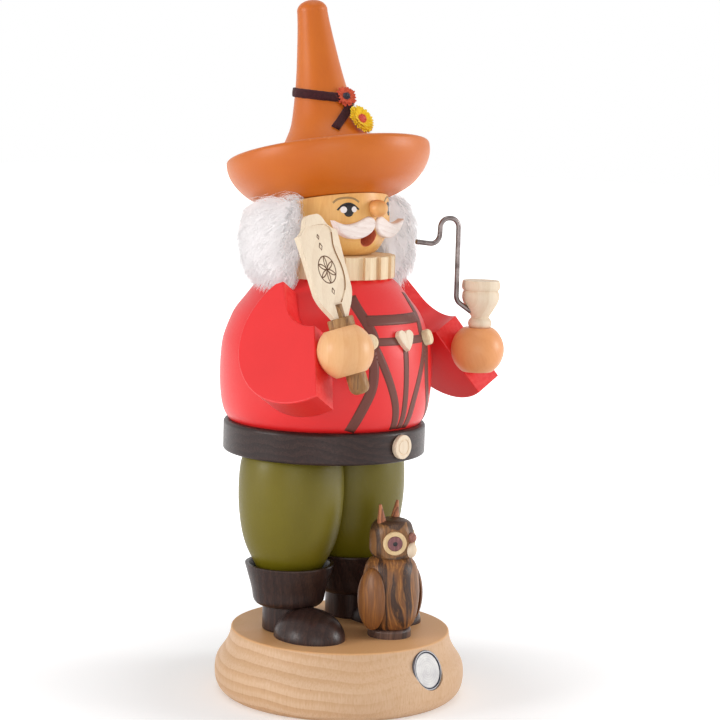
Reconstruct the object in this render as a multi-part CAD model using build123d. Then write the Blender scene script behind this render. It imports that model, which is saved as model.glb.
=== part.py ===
from build123d import *
from math import cos, pi, radians, sin
import os

# A standing incense smoker figure of turned wood: a stout pipe smoker in a tall hat, on a round base
# beside a small owl. Millimetres, +Z up. The origin is the centre of the base's underside, and the
# figure faces -Y. The figure's pieces are made about its own upright axis, and then set back on the
# base. "Right" and "left" are the figure's own, so its right side is at -X.

os.makedirs("parts", exist_ok=True)

# Fits and general sizes
glue_gap = 0.1           # a glue line on a curved seat
dowel_fit = 0.1          # between a dowel and its hole, on the radius
dowel_pocket = 0.5       # spare depth at each end of a dowel's hole
dowel_chamfer = 0.6
overrun = 3.0            # how far a cutting form reaches past what it cuts

# Places on the base
figure_back = 11.0       # the figure's axis, behind the base's centre
owl_side = 3.8           # the owl's axis, to the figure's left of the base's centre
owl_front = 22.0         # and in front of it
owl_turn = -3.0          # degrees, towards the figure's left
owl_head_turn = 12.5     # degrees, its head from its body

# Base
base_radius = 48.4
base_height = 25.0
base_edge = 0.7
base_side_shares = ((0.920, 0.0), (0.968, 0.08), (1.0, 0.37), (0.986, 0.51), (0.947, 0.63),
                    (0.906, 0.76), (0.885, 0.87), (0.875, 1.0))

# Badge: a bare metal disc in a bored seat on the slope of the base's side
badge_radius = 7.5
badge_thick = 1.2
badge_rim = 0.7
badge_dish = 0.25
badge_fit = 0.15
badge_angle = -0.4       # degrees from the front
badge_tilt = 19.0        # degrees, the slope that it is bored square to
badge_height = 16.4
badge_seat_share = 0.936 # the disc's face from the base's axis, of the base's radius

# Boots: a turned shaft with a flared cuff, and half an egg for each toe
boot_side = 17.9         # a boot's axis, from the middle plane
boot_radius = 10.0
boot_height = 10.2
boot_edge = 0.8
cuff_radius = 17.1
cuff_height = 15.8
cuff_wall = 1.5
cuff_depth = 4.1
cuff_floor_radius = 13.0
cuff_side_shares = ((0.70, 0.0), (0.775, 0.07), (0.825, 0.28), (0.915, 0.66), (1.0, 0.97))
toe_out = 3.9            # a toe's middle, outwards from the boot's axis
toe_front = 15.0         # and forwards
toe_half_length = 15.1
toe_half_width = 12.5
toe_height = 11.1
toe_turn = 6.0           # degrees, outwards

# Legs: full trouser legs, flat where they meet
leg_radius = 20.2
leg_height = 46.3
leg_side_shares = ((0.584, 0.0), (0.683, 0.10), (0.793, 0.19), (0.895, 0.31), (0.962, 0.46),
                   (0.995, 0.61), (1.0, 0.73), (0.985, 0.87), (0.950, 0.96), (0.916, 1.0))
leg_dowel_radius = 4.0
leg_dowel_in_base = 14.0
leg_dowel_in_leg = 14.0
hip_dowel_in_leg = 12.0
hip_dowel_in_belt = 8.0

# Belt: a turned plate, with the spigot that the body stands over
belt_radius = 39.2
belt_height = 12.0
belt_top_edge = 1.6
belt_foot_edge = 1.0
spigot_radius = 32.6
spigot_height = 6.5
spigot_edge = 0.8
spigot_fit = 0.3
buckle_radius = 4.6
buckle_proud = 1.6
buckle_edge = 0.4
buckle_ring_radius = 2.8
buckle_ring_groove = 0.3

# Tray: a pressed dish for the incense cone, nailed to the spigot
tray_radius = 21.0
tray_sheet = 0.6
tray_rim_height = 2.2
tray_floor_radius = 17.5
nail_radius = 0.9
nail_length = 9.0
nail_head_radius = 2.1
nail_head_height = 1.1

# Body: a hollow turned shell
body_radius = 41.0
body_height = 55.8
body_side_shares = ((0.902, 0.0), (0.939, 0.037), (0.968, 0.09), (0.988, 0.17), (1.0, 0.33),
                    (0.994, 0.457), (0.973, 0.57), (0.929, 0.665), (0.871, 0.758), (0.788, 0.839),
                    (0.680, 0.939), (0.585, 1.0))
body_wall = 4.6
body_bore_height = 7.4
body_crown = 6.4         # the thickness at the top, round the neck
body_hollow_shares = ((0.93, 0.20), (0.98, 0.35), (0.97, 0.50), (0.92, 0.62), (0.83, 0.74), (0.70, 0.84))

# Head: turned in one with the neck, which goes through the collar into the body
neck_radius = 12.0
neck_fit = 0.1
throat_radius = 8.0
throat_drill_cone = 2.5  # the height of the drill's point
throat_height = 14.0     # above the collar
head_radius = 23.0
head_height = 30.0
head_side_shares = ((0.652, 0.0), (0.783, 0.045), (0.913, 0.19), (0.978, 0.31), (1.0, 0.44),
                    (0.991, 0.59), (0.961, 0.77), (0.915, 1.0))
mouth_radius = 3.7
mouth_height = 7.2       # above the collar, at the face
mouth_angle = -4.0       # degrees from the front
mouth_tilt = 20.0        # degrees, down and out
mouth_depth = 16.5       # along its slope, into the throat
nose_height = 18.4       # above the collar
nose_half_width = 3.3
nose_half_length = 4.3
nose_proud = 1.6         # its middle, from the face
nose_peg_radius = 1.5
nose_peg_length = 3.0

# Collar: a fluted ring under the chin
collar_radius = 25.6
collar_height = 8.6
collar_flutes = 20
collar_flute_depth = 1.7
collar_flute_width = 2.9
collar_edge = 0.4

# Moustache: two curled crescents sawn from board, cut to sit on the face
moustache_reach = 20.0   # from the middle plane to the tip
moustache_high = 8.4
moustache_thick = 3.2
moustache_low = 6.9      # its lowest point, above the collar
moustache_front = 24.2   # the front of its inner end, from the figure's axis
moustache_sweep = 9.0    # degrees, back towards the tip
moustache_edge = 0.8
moustache_gap = 0.3      # from the middle plane to the inner end
moustache_top_shares = ((1.0, 0.84), (0.84, 0.71), (0.66, 0.65), (0.48, 0.72), (0.30, 0.90),
                        (0.15, 1.0), (0.05, 0.92), (0.0, 0.72))
moustache_foot_shares = ((0.0, 0.72), (0.03, 0.45), (0.12, 0.24), (0.28, 0.07), (0.46, 0.0),
                         (0.64, 0.05), (0.80, 0.22), (0.93, 0.52), (1.0, 0.84))

# Hair: the fur at the sides and back of the head, as the plain form that it fills
hair_radius = 35.0
hair_height = 35.0
hair_below_body_top = 3.0
hair_side = 1.2          # the middle of its round, to the figure's left
hair_right_start = 75.0  # degrees from the front
hair_left_start = 66.0
hair_gap = 0.4
hair_side_shares = ((0.77, 0.0), (0.87, 0.08), (0.95, 0.20), (0.99, 0.36), (1.0, 0.54), (0.97, 0.72),
                    (0.89, 0.87), (0.76, 1.0))

# Hat: a tall cone and a bowl-shaped brim, turned in one block, tipped back on the head
hat_rise = 19.6          # the hat's foot on its axis, above the collar
hat_side = 1.0
hat_front = 0.7
hat_tip_back = 12.0      # degrees
hat_tip_side = 1.6       # degrees
hat_height = 78.4
hat_brim_radius = 39.2
hat_brim_height = 19.7
hat_foot_radius = 20.5
hat_foot_shares = ((0.585, 0.02), (0.70, 0.105), (0.805, 0.22), (0.895, 0.39), (0.964, 0.595),
                   (0.997, 0.79), (1.0, 0.90))
hat_rim_shares = ((0.99, 0.972), (0.965, 1.0))
hat_bowl_shares = ((0.90, 0.84), (0.81, 0.67), (0.70, 0.61), (0.59, 0.72), (0.49, 0.96), (0.405, 1.28),
                   (0.355, 1.46), (0.293, 1.87))
hat_cone_shares = ((0.260, 0.545), (0.225, 0.64), (0.187, 0.775), (0.164, 0.865), (0.150, 0.941))
hat_tip_shares = ((0.125, 0.980), (0.061, 0.998), (0.030, 1.0))
hat_dowel_radius = 4.0
hat_dowel_in_head = 3.0
hat_dowel_in_hat = 12.0

# Hat band: a suede strip tied round the cone, with one end hanging
band_width = 3.4
band_thick = 1.1
band_height = 41.6       # above the hat's foot, at the sides
band_slope = 17.0        # degrees, lowest in front
band_reach = 24.0        # from the hat's axis, past the cone
band_tail_side = 4.4     # its upper end, to the figure's left
band_tail_top = 37.4
band_tail_length = 17.2
band_tail_lean = 49.5    # degrees, from the hat's axis

# Flowers: two small daisies on the band
flower_petals = 12
flower_thick = 0.8
flower_heart_share = 0.55
flower_petal_share = 0.27
flower_button_share = 0.33
flower_button_height = 1.3
flower_stand = 0.3
orange_flower_radius = 3.8
orange_flower_height = 38.4
orange_flower_angle = -1.0
orange_flower_turn = -25.0 # degrees, from square to the cone
yellow_flower_radius = 5.4
yellow_flower_height = 29.8
yellow_flower_angle = 13.0
yellow_flower_turn = 0.0

# Arms: slices of a broad ring, glued to the sides of the body
arm_thick = 12.4
arm_turn = 6.6           # degrees, the outer face's turn to the front
arm_tilt = 30.0          # degrees, its tilt upwards
arm_pitch = 23.1         # degrees, the forearm's rise
arm_corner_side = 41.9   # the cuff's outer top corner, from the middle plane
arm_corner_front = 32.2  # in front of the figure's axis
arm_corner_height = 41.7 # above the belt
arm_cuff_height = 29.2
arm_back_reach = 32.4
arm_back_drop = 2.8
arm_shoulder_reach = 16.0
arm_shoulder_rise = 23.2
arm_shoulder_flat = 3.2
arm_crook_reach = 11.8
arm_crook_rise = 13.8
arm_crook_mid_reach = 8.4
arm_crook_mid_rise = 4.9
arm_edge = 0.5
shoulder_dowel_radius = 3.0
shoulder_dowel_length = 11.0
shoulder_dowel_reach = 19.0
shoulder_dowel_rise = 7.0
shoulder_dowel_depth = 6.5 # its outer end, below the arm's outer face
left_arm_back = 3.5      # how far the left arm is set back along its forearm

# Hands: balls with a flat at each end of the bore through them
hand_radius = 10.3
hand_flat = 8.6          # from the middle to a flat
hand_edge = 0.8
right_hand_reach = 9.0   # the middle, from the cuff's face
right_hand_rise = 3.9    # and above the middle of the cuff
left_hand_reach = 7.6
left_hand_rise = 0.0
wrist_dowel_radius = 2.5
wrist_dowel_in_arm = 8.0
wrist_dowel_in_hand = 2.6

# Paddle: a flat board with a sunk panel, clasped by a turned handle
paddle_lean_back = 17.8  # degrees
paddle_lean_side = 5.1   # degrees
paddle_turn = 6.0        # degrees
grip_side = 0.8          # the handle's axis, from the hand's middle towards the figure's left
grip_front = 1.0         # and forwards
handle_radius = 3.7
handle_foot = 16.2       # below the hand's middle
handle_foot_round = 2.8
handle_collar_radius = 4.8
handle_collar_height = 3.4
handle_collar_edge = 0.5
handle_tongue_radius = 2.1
handle_tongue_height = 5.0
board_thick = 2.0
board_half_width = 11.9
board_height = 38.4
board_foot_share = 0.35
board_flare_shares = ((0.50, 0.055), (0.78, 0.16), (0.92, 0.27))
board_side_shares = ((0.95, 0.55), (1.0, 0.82))
board_neck_shares = ((0.76, 0.845), (0.57, 0.89), (0.43, 0.955))
board_lobe_share = 0.20
panel_depth = 0.5
panel_foot_shares = (0.22, 0.14)
panel_side_shares = ((0.60, 0.26), (0.74, 0.47), (0.62, 0.70))
panel_top_share = 0.90

# Pipe: a turned bowl on the left hand, with a bent wire for its stem
bowl_radius = 7.4
bowl_height = 18.3
bowl_peg_radius = 2.5
bowl_peg_length = 7.0
bowl_out = 0.4           # the bowl's axis, outwards from the hand's middle
bowl_front = 0.4         # and forwards
bowl_bead_shares = ((0.52, 0.0), (0.60, 0.045), (0.61, 0.12), (0.53, 0.185))
bowl_side_shares = ((0.455, 0.22), (0.62, 0.33), (0.77, 0.43), (0.93, 0.56), (0.98, 0.66),
                    (0.94, 0.755))
bowl_rim_shares = ((0.90, 0.785), (0.985, 0.83), (1.0, 0.92), (0.955, 1.0))
stem_radius = 0.95
stem_fit = 0.1
stem_turn = 113.0        # degrees, from the front towards the figure's right
stem_root = 4.4          # its end inside the bowl, from the bowl's axis
stem_root_height = 6.4   # above the hand
stem_knee_height = 10.6
stem_out = 10.7          # its upright run, from the bowl's axis
stem_top_height = 42.3
stem_top_reach = 7.7
stem_low_reach = 8.2
stem_low_height = 32.2
stem_end_reach = 18.0
stem_end_height = 33.3
stem_bend_share = 0.47   # a bend's radius, of the top's reach

# Heart and buttons on the braces
brace_height = 33.9      # above the belt
heart_half_width = 4.2
heart_height = 8.0
heart_proud = 1.8
heart_edge = 0.3
heart_notch_share = 0.82
heart_lobe_shares = ((0.50, 1.0), (1.0, 0.74))
heart_side_shares = (0.62, 0.34)
button_angle = 24.0      # degrees from the front
button_radius = 3.0
button_proud = 2.8
button_edge = 1.1

# Owl: turned pieces of striped wood
owl_foot_radius = 8.3
owl_foot_height = 3.4
owl_foot_edge = 1.2
owl_body_radius = 11.1
owl_body_height = 27.4
owl_body_shares = ((0.66, 0.0), (0.80, 0.055), (0.95, 0.25), (1.0, 0.50), (0.96, 0.72), (0.82, 0.92),
                   (0.62, 1.0))
owl_head_radius = 8.6
owl_head_height = 14.5
owl_head_shares = ((0.82, 0.0), (0.965, 0.13), (1.0, 0.42), (0.985, 0.66), (0.86, 0.87), (0.45, 1.0))
owl_face_angle = 50.0    # degrees, each eye's flat from the front
owl_face_flat = 6.9      # from the head's axis
owl_eye_height = 6.3     # above the owl's body
owl_eye_radius = 4.5
owl_eye_thick = 1.2
owl_eye_edge = 0.4
owl_iris_radius = 2.9
owl_iris_proud = 0.35
owl_wing_flat = 9.9      # from the body's axis
owl_wing_height = 12.0   # its middle, above the owl's foot
owl_wing_half_width = 6.9
owl_wing_half_height = 12.0
owl_wing_thick = 3.8
owl_ear_side = 4.3
owl_ear_back = 1.8
owl_ear_radius = 2.2
owl_ear_tip_radius = 0.5
owl_ear_length = 9.5
owl_ear_depth = 3.2
owl_ear_lean = 12.0      # degrees
owl_beak_height = 3.4    # above the owl's body
owl_beak_half_width = 2.5
owl_beak_half_height = 3.0
owl_beak_half_length = 2.2
owl_cere_height = 8.2
owl_cere_radius = 2.0
owl_dowel_radius = 2.0
owl_dowel_in_head = 6.0

# Heights up the figure
boot_top = base_height + boot_height
cuff_top = boot_top + cuff_height
leg_foot = cuff_top - cuff_depth
belt_foot = leg_foot + leg_height
belt_top = belt_foot + belt_height
tray_foot = belt_top + spigot_height
body_top = belt_top + body_height
collar_top = body_top + collar_height
owl_body_foot = base_height + owl_foot_height
owl_head_foot = owl_body_foot + owl_body_height
wrist_length = wrist_dowel_in_arm + wrist_dowel_in_hand

standing = (Align.CENTER, Align.CENTER, Align.MIN)
figure = Pos(0, figure_back, 0)
owl = Pos(owl_side, -owl_front, 0) * Rot(0, 0, owl_turn)
owl_face = owl * Rot(0, 0, owl_head_turn)
hat_place = Pos(hat_side, -hat_front, collar_top + hat_rise) * Rot(-hat_tip_back, hat_tip_side, 0)


def spread(shares, radius, height, bottom=0.0, grow=0.0):
    """Outline points from shares of a radius and of a height, moved out by a margin."""
    return [(r * radius + grow, bottom + h * height) for r, h in shares]


def turned(start, *steps):
    """A solid turned about Z. Each step goes on from the last point of the half outline: one point is
    a straight line, and more are a smooth curve."""
    edges, at = [], start
    for step in steps:
        run = [(r, 0, z) for r, z in (at, *step)]
        edges.append(Line(*run) if len(run) == 2 else Spline(*run))
        at = step[-1]
    edges.append(Line((at[0], 0, at[1]), (start[0], 0, start[1])))
    return revolve(make_face(edges), Axis.Z)


def rod(radius, length):
    return Cylinder(radius, length, align=standing)


def rims(solid, height):
    """The round edges of a turned solid at one height, the smallest first."""
    edges = solid.edges().filter_by(GeomType.CIRCLE)
    return edges.filter_by_position(Axis.Z, height - glue_gap, height + glue_gap).sort_by(Edge.length)


def ball(half_x, half_y, half_z):
    return scale(Sphere(1), by=(half_x, half_y, half_z))


def dowel(radius, length):
    """A dowel standing on the origin, with both ends chamfered."""
    pin = rod(radius, length)
    return chamfer(pin.edges().filter_by(GeomType.CIRCLE), dowel_chamfer)


def hole(radius, length):
    """The hole for a dowel that stands on the origin, with a pocket at each end."""
    return Pos(0, 0, -dowel_pocket) * rod(radius + dowel_fit, length + 2 * dowel_pocket)


def way(angle):
    """The level direction at an angle from the front, positive towards the figure's left."""
    return Vector(sin(radians(angle)), -cos(radians(angle)), 0)


def facing(point, angle, tilt=0.0):
    """A plane at a point, facing out at an angle from the front, with its Y axis up."""
    out = way(angle)
    return Plane(point, x_dir=(-out.Y, out.X, 0),
                 z_dir=out * cos(radians(tilt)) + Vector(0, 0, sin(radians(tilt))))


def on_surface(solid, angle, height):
    """A plane on the outside of a turned solid, square to its surface."""
    out = way(angle)
    hits = solid.find_intersection_points(Axis((0, 0, height), out))
    point, normal = max(hits, key=lambda hit: hit[0].dot(out))
    normal = normal if normal.dot(out) > 0 else -normal
    return Plane(point, x_dir=(-out.Y, out.X, 0), z_dir=normal)


def mirrored(solid):
    """The left-hand twin of a right-hand piece."""
    return mirror(solid, about=Plane.YZ)


def keep(node, solid, place=Location()):
    """Writes one node's solid, set in its place."""
    export_step(place * solid, f"parts/{node}.step")


# Base and badge
def make_base():
    side = spread(base_side_shares, base_radius, base_height)
    base = turned((0, 0), [side[0]], side[1:], [(0, base_height)])
    base = fillet(rims(base, base_height)[-1], base_edge)
    out = way(badge_angle) * badge_seat_share * base_radius
    seat = facing((out.X, out.Y, badge_height), badge_angle, badge_tilt).offset(-badge_thick)
    base -= seat * rod(badge_radius + badge_fit, badge_radius)
    for side_x in (-boot_side, boot_side):
        pin_foot = base_height - leg_dowel_in_base
        base -= Pos(side_x, figure_back, pin_foot) * hole(leg_dowel_radius, leg_dowel_in_base)
    base -= owl * Pos(0, 0, base_height - owl_foot_height) * hole(owl_dowel_radius, owl_foot_height)
    keep("base", base)

    inner = badge_radius - badge_rim
    disc = turned((0, 0), [(badge_radius, 0)], [(badge_radius, badge_thick)], [(inner, badge_thick)],
                  [(inner, badge_thick - badge_dish)], [(0, badge_thick - badge_dish)])
    keep("badge_disc", seat * disc)


# Boots, toes and legs, each about its own axis
def boot_form(grow=0.0):
    """The outside of a boot, solid."""
    step = boot_top - grow
    side = spread(cuff_side_shares, cuff_radius, cuff_height, step, grow)
    return turned((0, base_height), [(boot_radius + grow, base_height)], [(boot_radius + grow, step)],
                  [side[0]], side[1:], [(side[-1][0], cuff_top)], [(0, cuff_top)])


def boot():
    solid = boot_form()
    lip = cuff_radius - cuff_wall
    solid -= turned((0, leg_foot), [(cuff_floor_radius, leg_foot)], [(lip, cuff_top)],
                    [(lip, cuff_top + overrun)], [(0, cuff_top + overrun)])
    return fillet(rims(solid, base_height)[-1], boot_edge)


def toe(side):
    """Half an egg in front of a boot. side is -1 for the figure's right."""
    egg = ball(toe_half_width, toe_half_length, toe_height)
    egg = Pos(side * toe_out, -toe_front, base_height) * Rot(0, 0, side * toe_turn) * egg
    egg = split(egg, bisect_by=Plane.XY.offset(base_height), keep=Keep.TOP)
    return egg - boot_form(glue_gap)


def leg(side):
    """A trouser leg, flat at the figure's middle plane."""
    outline = spread(leg_side_shares, leg_radius, leg_height, leg_foot)
    solid = turned((0, leg_foot), [outline[0]], outline[1:], [(0, belt_foot)])
    middle = Plane.YZ.offset(-side * boot_side)
    return split(solid, bisect_by=middle, keep=Keep.TOP if side > 0 else Keep.BOTTOM)


def make_legs():
    pin_foot = base_height - leg_dowel_in_base
    pin_length = leg_foot + leg_dowel_in_leg - pin_foot
    hip_foot = belt_foot - hip_dowel_in_leg
    hip_length = hip_dowel_in_leg + hip_dowel_in_belt
    pin_hole = Pos(0, 0, pin_foot) * hole(leg_dowel_radius, pin_length)
    hip_hole = Pos(0, 0, hip_foot) * hole(leg_dowel_radius, hip_length)
    for name, side in (("right", -1), ("left", 1)):
        place = figure * Pos(side * boot_side, 0, 0)
        keep(f"{name}_boot", boot() - pin_hole, place)
        keep(f"{name}_toe", toe(side), place)
        keep(f"{name}_leg", leg(side) - pin_hole - hip_hole, place)
        keep(f"{name}_leg_dowel", Pos(0, 0, pin_foot) * dowel(leg_dowel_radius, pin_length), place)
        keep(f"{name}_hip_dowel", Pos(0, 0, hip_foot) * dowel(leg_dowel_radius, hip_length), place)


# Belt, buckle, and the incense tray with its nail
def make_belt():
    plate = Pos(0, 0, belt_foot) * rod(belt_radius, belt_height)
    plate = fillet(rims(plate, belt_top), belt_top_edge)
    plate = fillet(rims(plate, belt_foot), belt_foot_edge)
    spigot = Pos(0, 0, belt_foot) * rod(spigot_radius, belt_height + spigot_height)
    belt = plate + fillet(rims(spigot, tray_foot), spigot_edge)
    hip_hole = hole(leg_dowel_radius, hip_dowel_in_leg + hip_dowel_in_belt)
    for side in (-1, 1):
        belt -= Pos(side * boot_side, 0, belt_foot - hip_dowel_in_leg) * hip_hole
    nail_foot = tray_foot + tray_sheet - nail_length
    belt -= Pos(0, 0, nail_foot) * hole(nail_radius, nail_length)
    keep("belt", belt, figure)

    front = facing((0, -belt_radius, belt_foot + belt_height / 2), 0)
    disc = fillet(rims(Cylinder(buckle_radius, 2 * buckle_proud), buckle_proud), buckle_edge)
    disc -= Pos(0, 0, buckle_proud) * Torus(buckle_ring_radius, buckle_ring_groove)
    disc = front * disc - Pos(0, 0, belt_foot) * rod(belt_radius + glue_gap, belt_height)
    keep("buckle", disc, figure)

    bore = nail_radius + dowel_fit
    tray = turned((bore, 0), [(tray_floor_radius, 0)], [(tray_radius, tray_rim_height)],
                  [(tray_radius - tray_sheet, tray_rim_height)],
                  [(tray_floor_radius - tray_sheet / 2, tray_sheet)], [(bore, tray_sheet)])
    keep("incense_tray", Pos(0, 0, tray_foot) * tray, figure)
    head_foot = tray_foot + tray_sheet
    dome = [(nail_head_radius * cos(turn), head_foot + nail_head_height * sin(turn))
            for turn in (pi / 6, pi / 3, pi / 2)]
    nail = turned((0, nail_foot), [(nail_radius, nail_foot + nail_radius)], [(nail_radius, head_foot)],
                  [(nail_head_radius, head_foot)], dome)
    keep("tray_nail", nail, figure)


# Body shell, about the figure's axis
def body_form(grow=0.0):
    """The outside of the body, solid."""
    side = spread(body_side_shares, body_radius, body_height, belt_top, grow)
    return turned((0, belt_top), [side[0]], side[1:], [(0, body_top)])


def body():
    bore = spigot_radius + spigot_fit
    crown = body_top - body_crown
    hollow = spread(body_hollow_shares, body_radius - body_wall, body_height, belt_top)
    solid = body_form() - turned((0, belt_top - overrun), [(bore, belt_top - overrun)],
                                 [(bore, belt_top + body_bore_height)], hollow, [(neck_radius, crown)],
                                 [(0, crown)])
    return solid - Pos(0, 0, crown - overrun) * rod(neck_radius + neck_fit, body_crown + 2 * overrun)


# Arms and hands. In an arm's own plane, X runs along the forearm, Y up the cuff and Z out.
def arm_plane():
    tilt, turn = radians(arm_tilt), radians(arm_turn)
    corner = (-arm_corner_side, -arm_corner_front, belt_top + arm_corner_height)
    out = (-cos(tilt) * cos(turn), -cos(tilt) * sin(turn), sin(tilt))
    level = Plane(corner, x_dir=(sin(turn), -cos(turn), 0), z_dir=out)
    return Plane(level.location * Rot(0, 0, arm_pitch))


def hand_middle(reach, rise):
    return Pos(reach, rise - arm_cuff_height / 2, -arm_thick / 2)


def wrist_place(rise):
    return hand_middle(-wrist_dowel_in_arm, rise) * Rot(0, 90, 0)


def arm_slab():
    shoulder = (-arm_shoulder_reach, arm_shoulder_rise)
    top = (arm_shoulder_flat - arm_shoulder_reach, arm_shoulder_rise)
    crook = (-arm_crook_reach, arm_crook_rise)
    outline = [Line((0, 0), (0, -arm_cuff_height)),
               ThreePointArc((0, -arm_cuff_height), (-arm_back_reach, -arm_back_drop), shoulder),
               Line(shoulder, top), Line(top, crook),
               ThreePointArc(crook, (-arm_crook_mid_reach, arm_crook_mid_rise), (0, 0))]
    slab = extrude(make_face(outline), -arm_thick)
    faces = slab.faces().sort_by(Axis.Z)
    return fillet(faces[0].edges() + faces[-1].edges(), arm_edge)


def hand(plane, middle, place, bore):
    """A ball with a flat at each end of its bore, cut off flat at the cuff."""
    solid = Sphere(hand_radius) & Box(2 * hand_radius, 2 * hand_radius, 2 * hand_flat)
    solid = fillet(solid.edges().filter_by(GeomType.CIRCLE), hand_edge) - bore
    solid = Pos(middle) * place * solid
    return split(solid, bisect_by=Plane(plane.origin, z_dir=plane.x_dir), keep=Keep.TOP)


# Paddle, about its handle's axis from the hand's middle, with its face to the front
def handle():
    foot, top = hand_flat, hand_flat + handle_collar_height
    tongue = top + handle_tongue_height
    solid = turned((0, -handle_foot), [(handle_radius, -handle_foot)], [(handle_radius, foot)],
                   [(handle_collar_radius, foot)], [(handle_collar_radius, top)],
                   [(handle_tongue_radius, top)], [(handle_tongue_radius, tongue)], [(0, tongue)])
    solid = fillet(rims(solid, -handle_foot), handle_foot_round)
    solid = fillet(rims(solid, top)[-1], handle_collar_edge)
    slot = Box(2 * handle_collar_radius, board_thick, handle_tongue_height + overrun, align=standing)
    return solid - Pos(0, 0, top) * slot


def board():
    foot = hand_flat + handle_collar_height

    def at(share_wide, share_high):
        return (share_wide * board_half_width, foot + share_high * board_height)

    neck, top = at(board_foot_share, 0), at(0, 1)
    flare = [at(*share) for share in board_flare_shares]
    sides = [at(*share) for share in board_side_shares]
    shoulder = [at(*share) for share in board_neck_shares]
    lobe = at(board_lobe_share, 1)
    half = [Line((0, foot), neck), Spline(neck, *flare), ThreePointArc(flare[-1], *sides),
            Spline(sides[-1], *shoulder, lobe), Line(lobe, top)]
    outline = make_face([*half, *[mirror(edge, about=Plane.YZ) for edge in half]])
    plate = extrude(outline, board_thick / 2, both=True)
    low, peak = at(*panel_foot_shares), at(0, panel_top_share)
    bulge = [at(*share) for share in panel_side_shares]
    edge = Spline(low, *bulge, peak, tangents=((1, 1), (-1, 0)))
    panel = make_face([Line((-low[0], low[1]), low), edge, mirror(edge, about=Plane.YZ)])
    plate -= Pos(0, 0, board_thick / 2 - panel_depth) * extrude(panel, panel_depth + overrun)
    return Plane((0, 0, 0), x_dir=(1, 0, 0), z_dir=(0, -1, 0)) * plate


# Pipe, about its bowl's axis from the hand's upper flat
def bowl():
    bead, side, rim = (spread(shares, bowl_radius, bowl_height)
                       for shares in (bowl_bead_shares, bowl_side_shares, bowl_rim_shares))
    return turned((0, -bowl_peg_length), [(bowl_peg_radius, -bowl_peg_length)], [(bowl_peg_radius, 0)],
                  [bead[0]], bead[1:], [side[0]], side[1:], [rim[0]], rim[1:], [(0, bowl_height)])


def stem(radius):
    """The wire, in the upright plane where X leads away from the bowl's axis."""
    bend = stem_bend_share * stem_top_reach
    path = FilletPolyline((stem_root, 0, stem_root_height), (stem_out, 0, stem_knee_height),
                          (stem_out, 0, stem_top_height), (stem_out + stem_top_reach, 0, stem_top_height),
                          (stem_out + stem_low_reach, 0, stem_low_height),
                          (stem_out + stem_end_reach, 0, stem_end_height), radius=bend)
    return sweep(Plane(path @ 0, z_dir=path % 0) * Circle(radius), path=path)


def make_arms():
    """Both arms with their hands and dowels, and the body bored for them. The left ones are made as
    right-hand pieces, and then mirrored."""
    lean = Rot(0, 0, paddle_turn) * Rot(-paddle_lean_back, 0, 0) * Rot(0, -paddle_lean_side, 0)
    grip = Pos(grip_side, -grip_front, 0)
    pipe = Pos(-bowl_out, -bowl_front, hand_flat)
    handle_bore = grip * Cylinder(handle_radius + dowel_fit, 3 * hand_radius)
    pipe_bore = pipe * Pos(0, 0, -bowl_peg_length) * hole(bowl_peg_radius, bowl_peg_length)
    shell, middles = body(), {}
    for name, back, reach, rise, place, bore in (
            ("right", 0, right_hand_reach, right_hand_rise, lean, handle_bore),
            ("left", left_arm_back, left_hand_reach, left_hand_rise, Location(), pipe_bore)):
        plane = Plane(arm_plane().location * Pos(-back, 0, 0))
        middles[name] = middle = (plane.location * hand_middle(reach, rise)).position
        shoulder = Pos(-shoulder_dowel_reach, shoulder_dowel_rise, -shoulder_dowel_depth)
        shoulder = plane * shoulder * Rot(180, 0, 0)
        shoulder_hole = shoulder * hole(shoulder_dowel_radius, shoulder_dowel_length)
        wrist = plane * wrist_place(rise)
        wrist_hole = wrist * hole(wrist_dowel_radius, wrist_length)
        pieces = {"arm": plane * arm_slab() - body_form(glue_gap) - shoulder_hole - wrist_hole,
                  "hand": hand(plane, middle, place, bore) - wrist_hole,
                  "shoulder_dowel": shoulder * dowel(shoulder_dowel_radius, shoulder_dowel_length),
                  "wrist_dowel": wrist * dowel(wrist_dowel_radius, wrist_length)}
        for piece, solid in pieces.items():
            keep(f"{name}_{piece}", mirrored(solid) if name == "left" else solid, figure)
        shell -= mirrored(shoulder_hole) if name == "left" else shoulder_hole
    keep("body", shell, figure)

    held = figure * Pos(middles["right"]) * lean * grip
    keep("paddle_handle", handle(), held)
    keep("paddle_board", board(), held)

    middle = middles["left"]
    seat = figure * Pos(bowl_out - middle.X, middle.Y - bowl_front, middle.Z + hand_flat)
    around = Rot(0, 0, -90 - stem_turn)
    keep("pipe_bowl", bowl() - around * stem(stem_radius + stem_fit), seat)
    keep("pipe_stem", around * stem(stem_radius), seat)


# Head, nose, moustache, collar and hair, about the figure's axis
def head_form(grow=0.0):
    """The outside of the head above the collar, solid and not yet cut by the hat."""
    side = spread(head_side_shares, head_radius, head_height, collar_top, grow)
    return turned((0, collar_top), [side[0]], side[1:], [(0, collar_top + head_height)])


def nose_place():
    """The root of the nose's peg, with Z out of the face."""
    face = on_surface(head_form(), 0, collar_top + nose_height).origin
    return Pos(0, face.Y + nose_peg_length, face.Z) * Rot(90, 0, 0)


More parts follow.
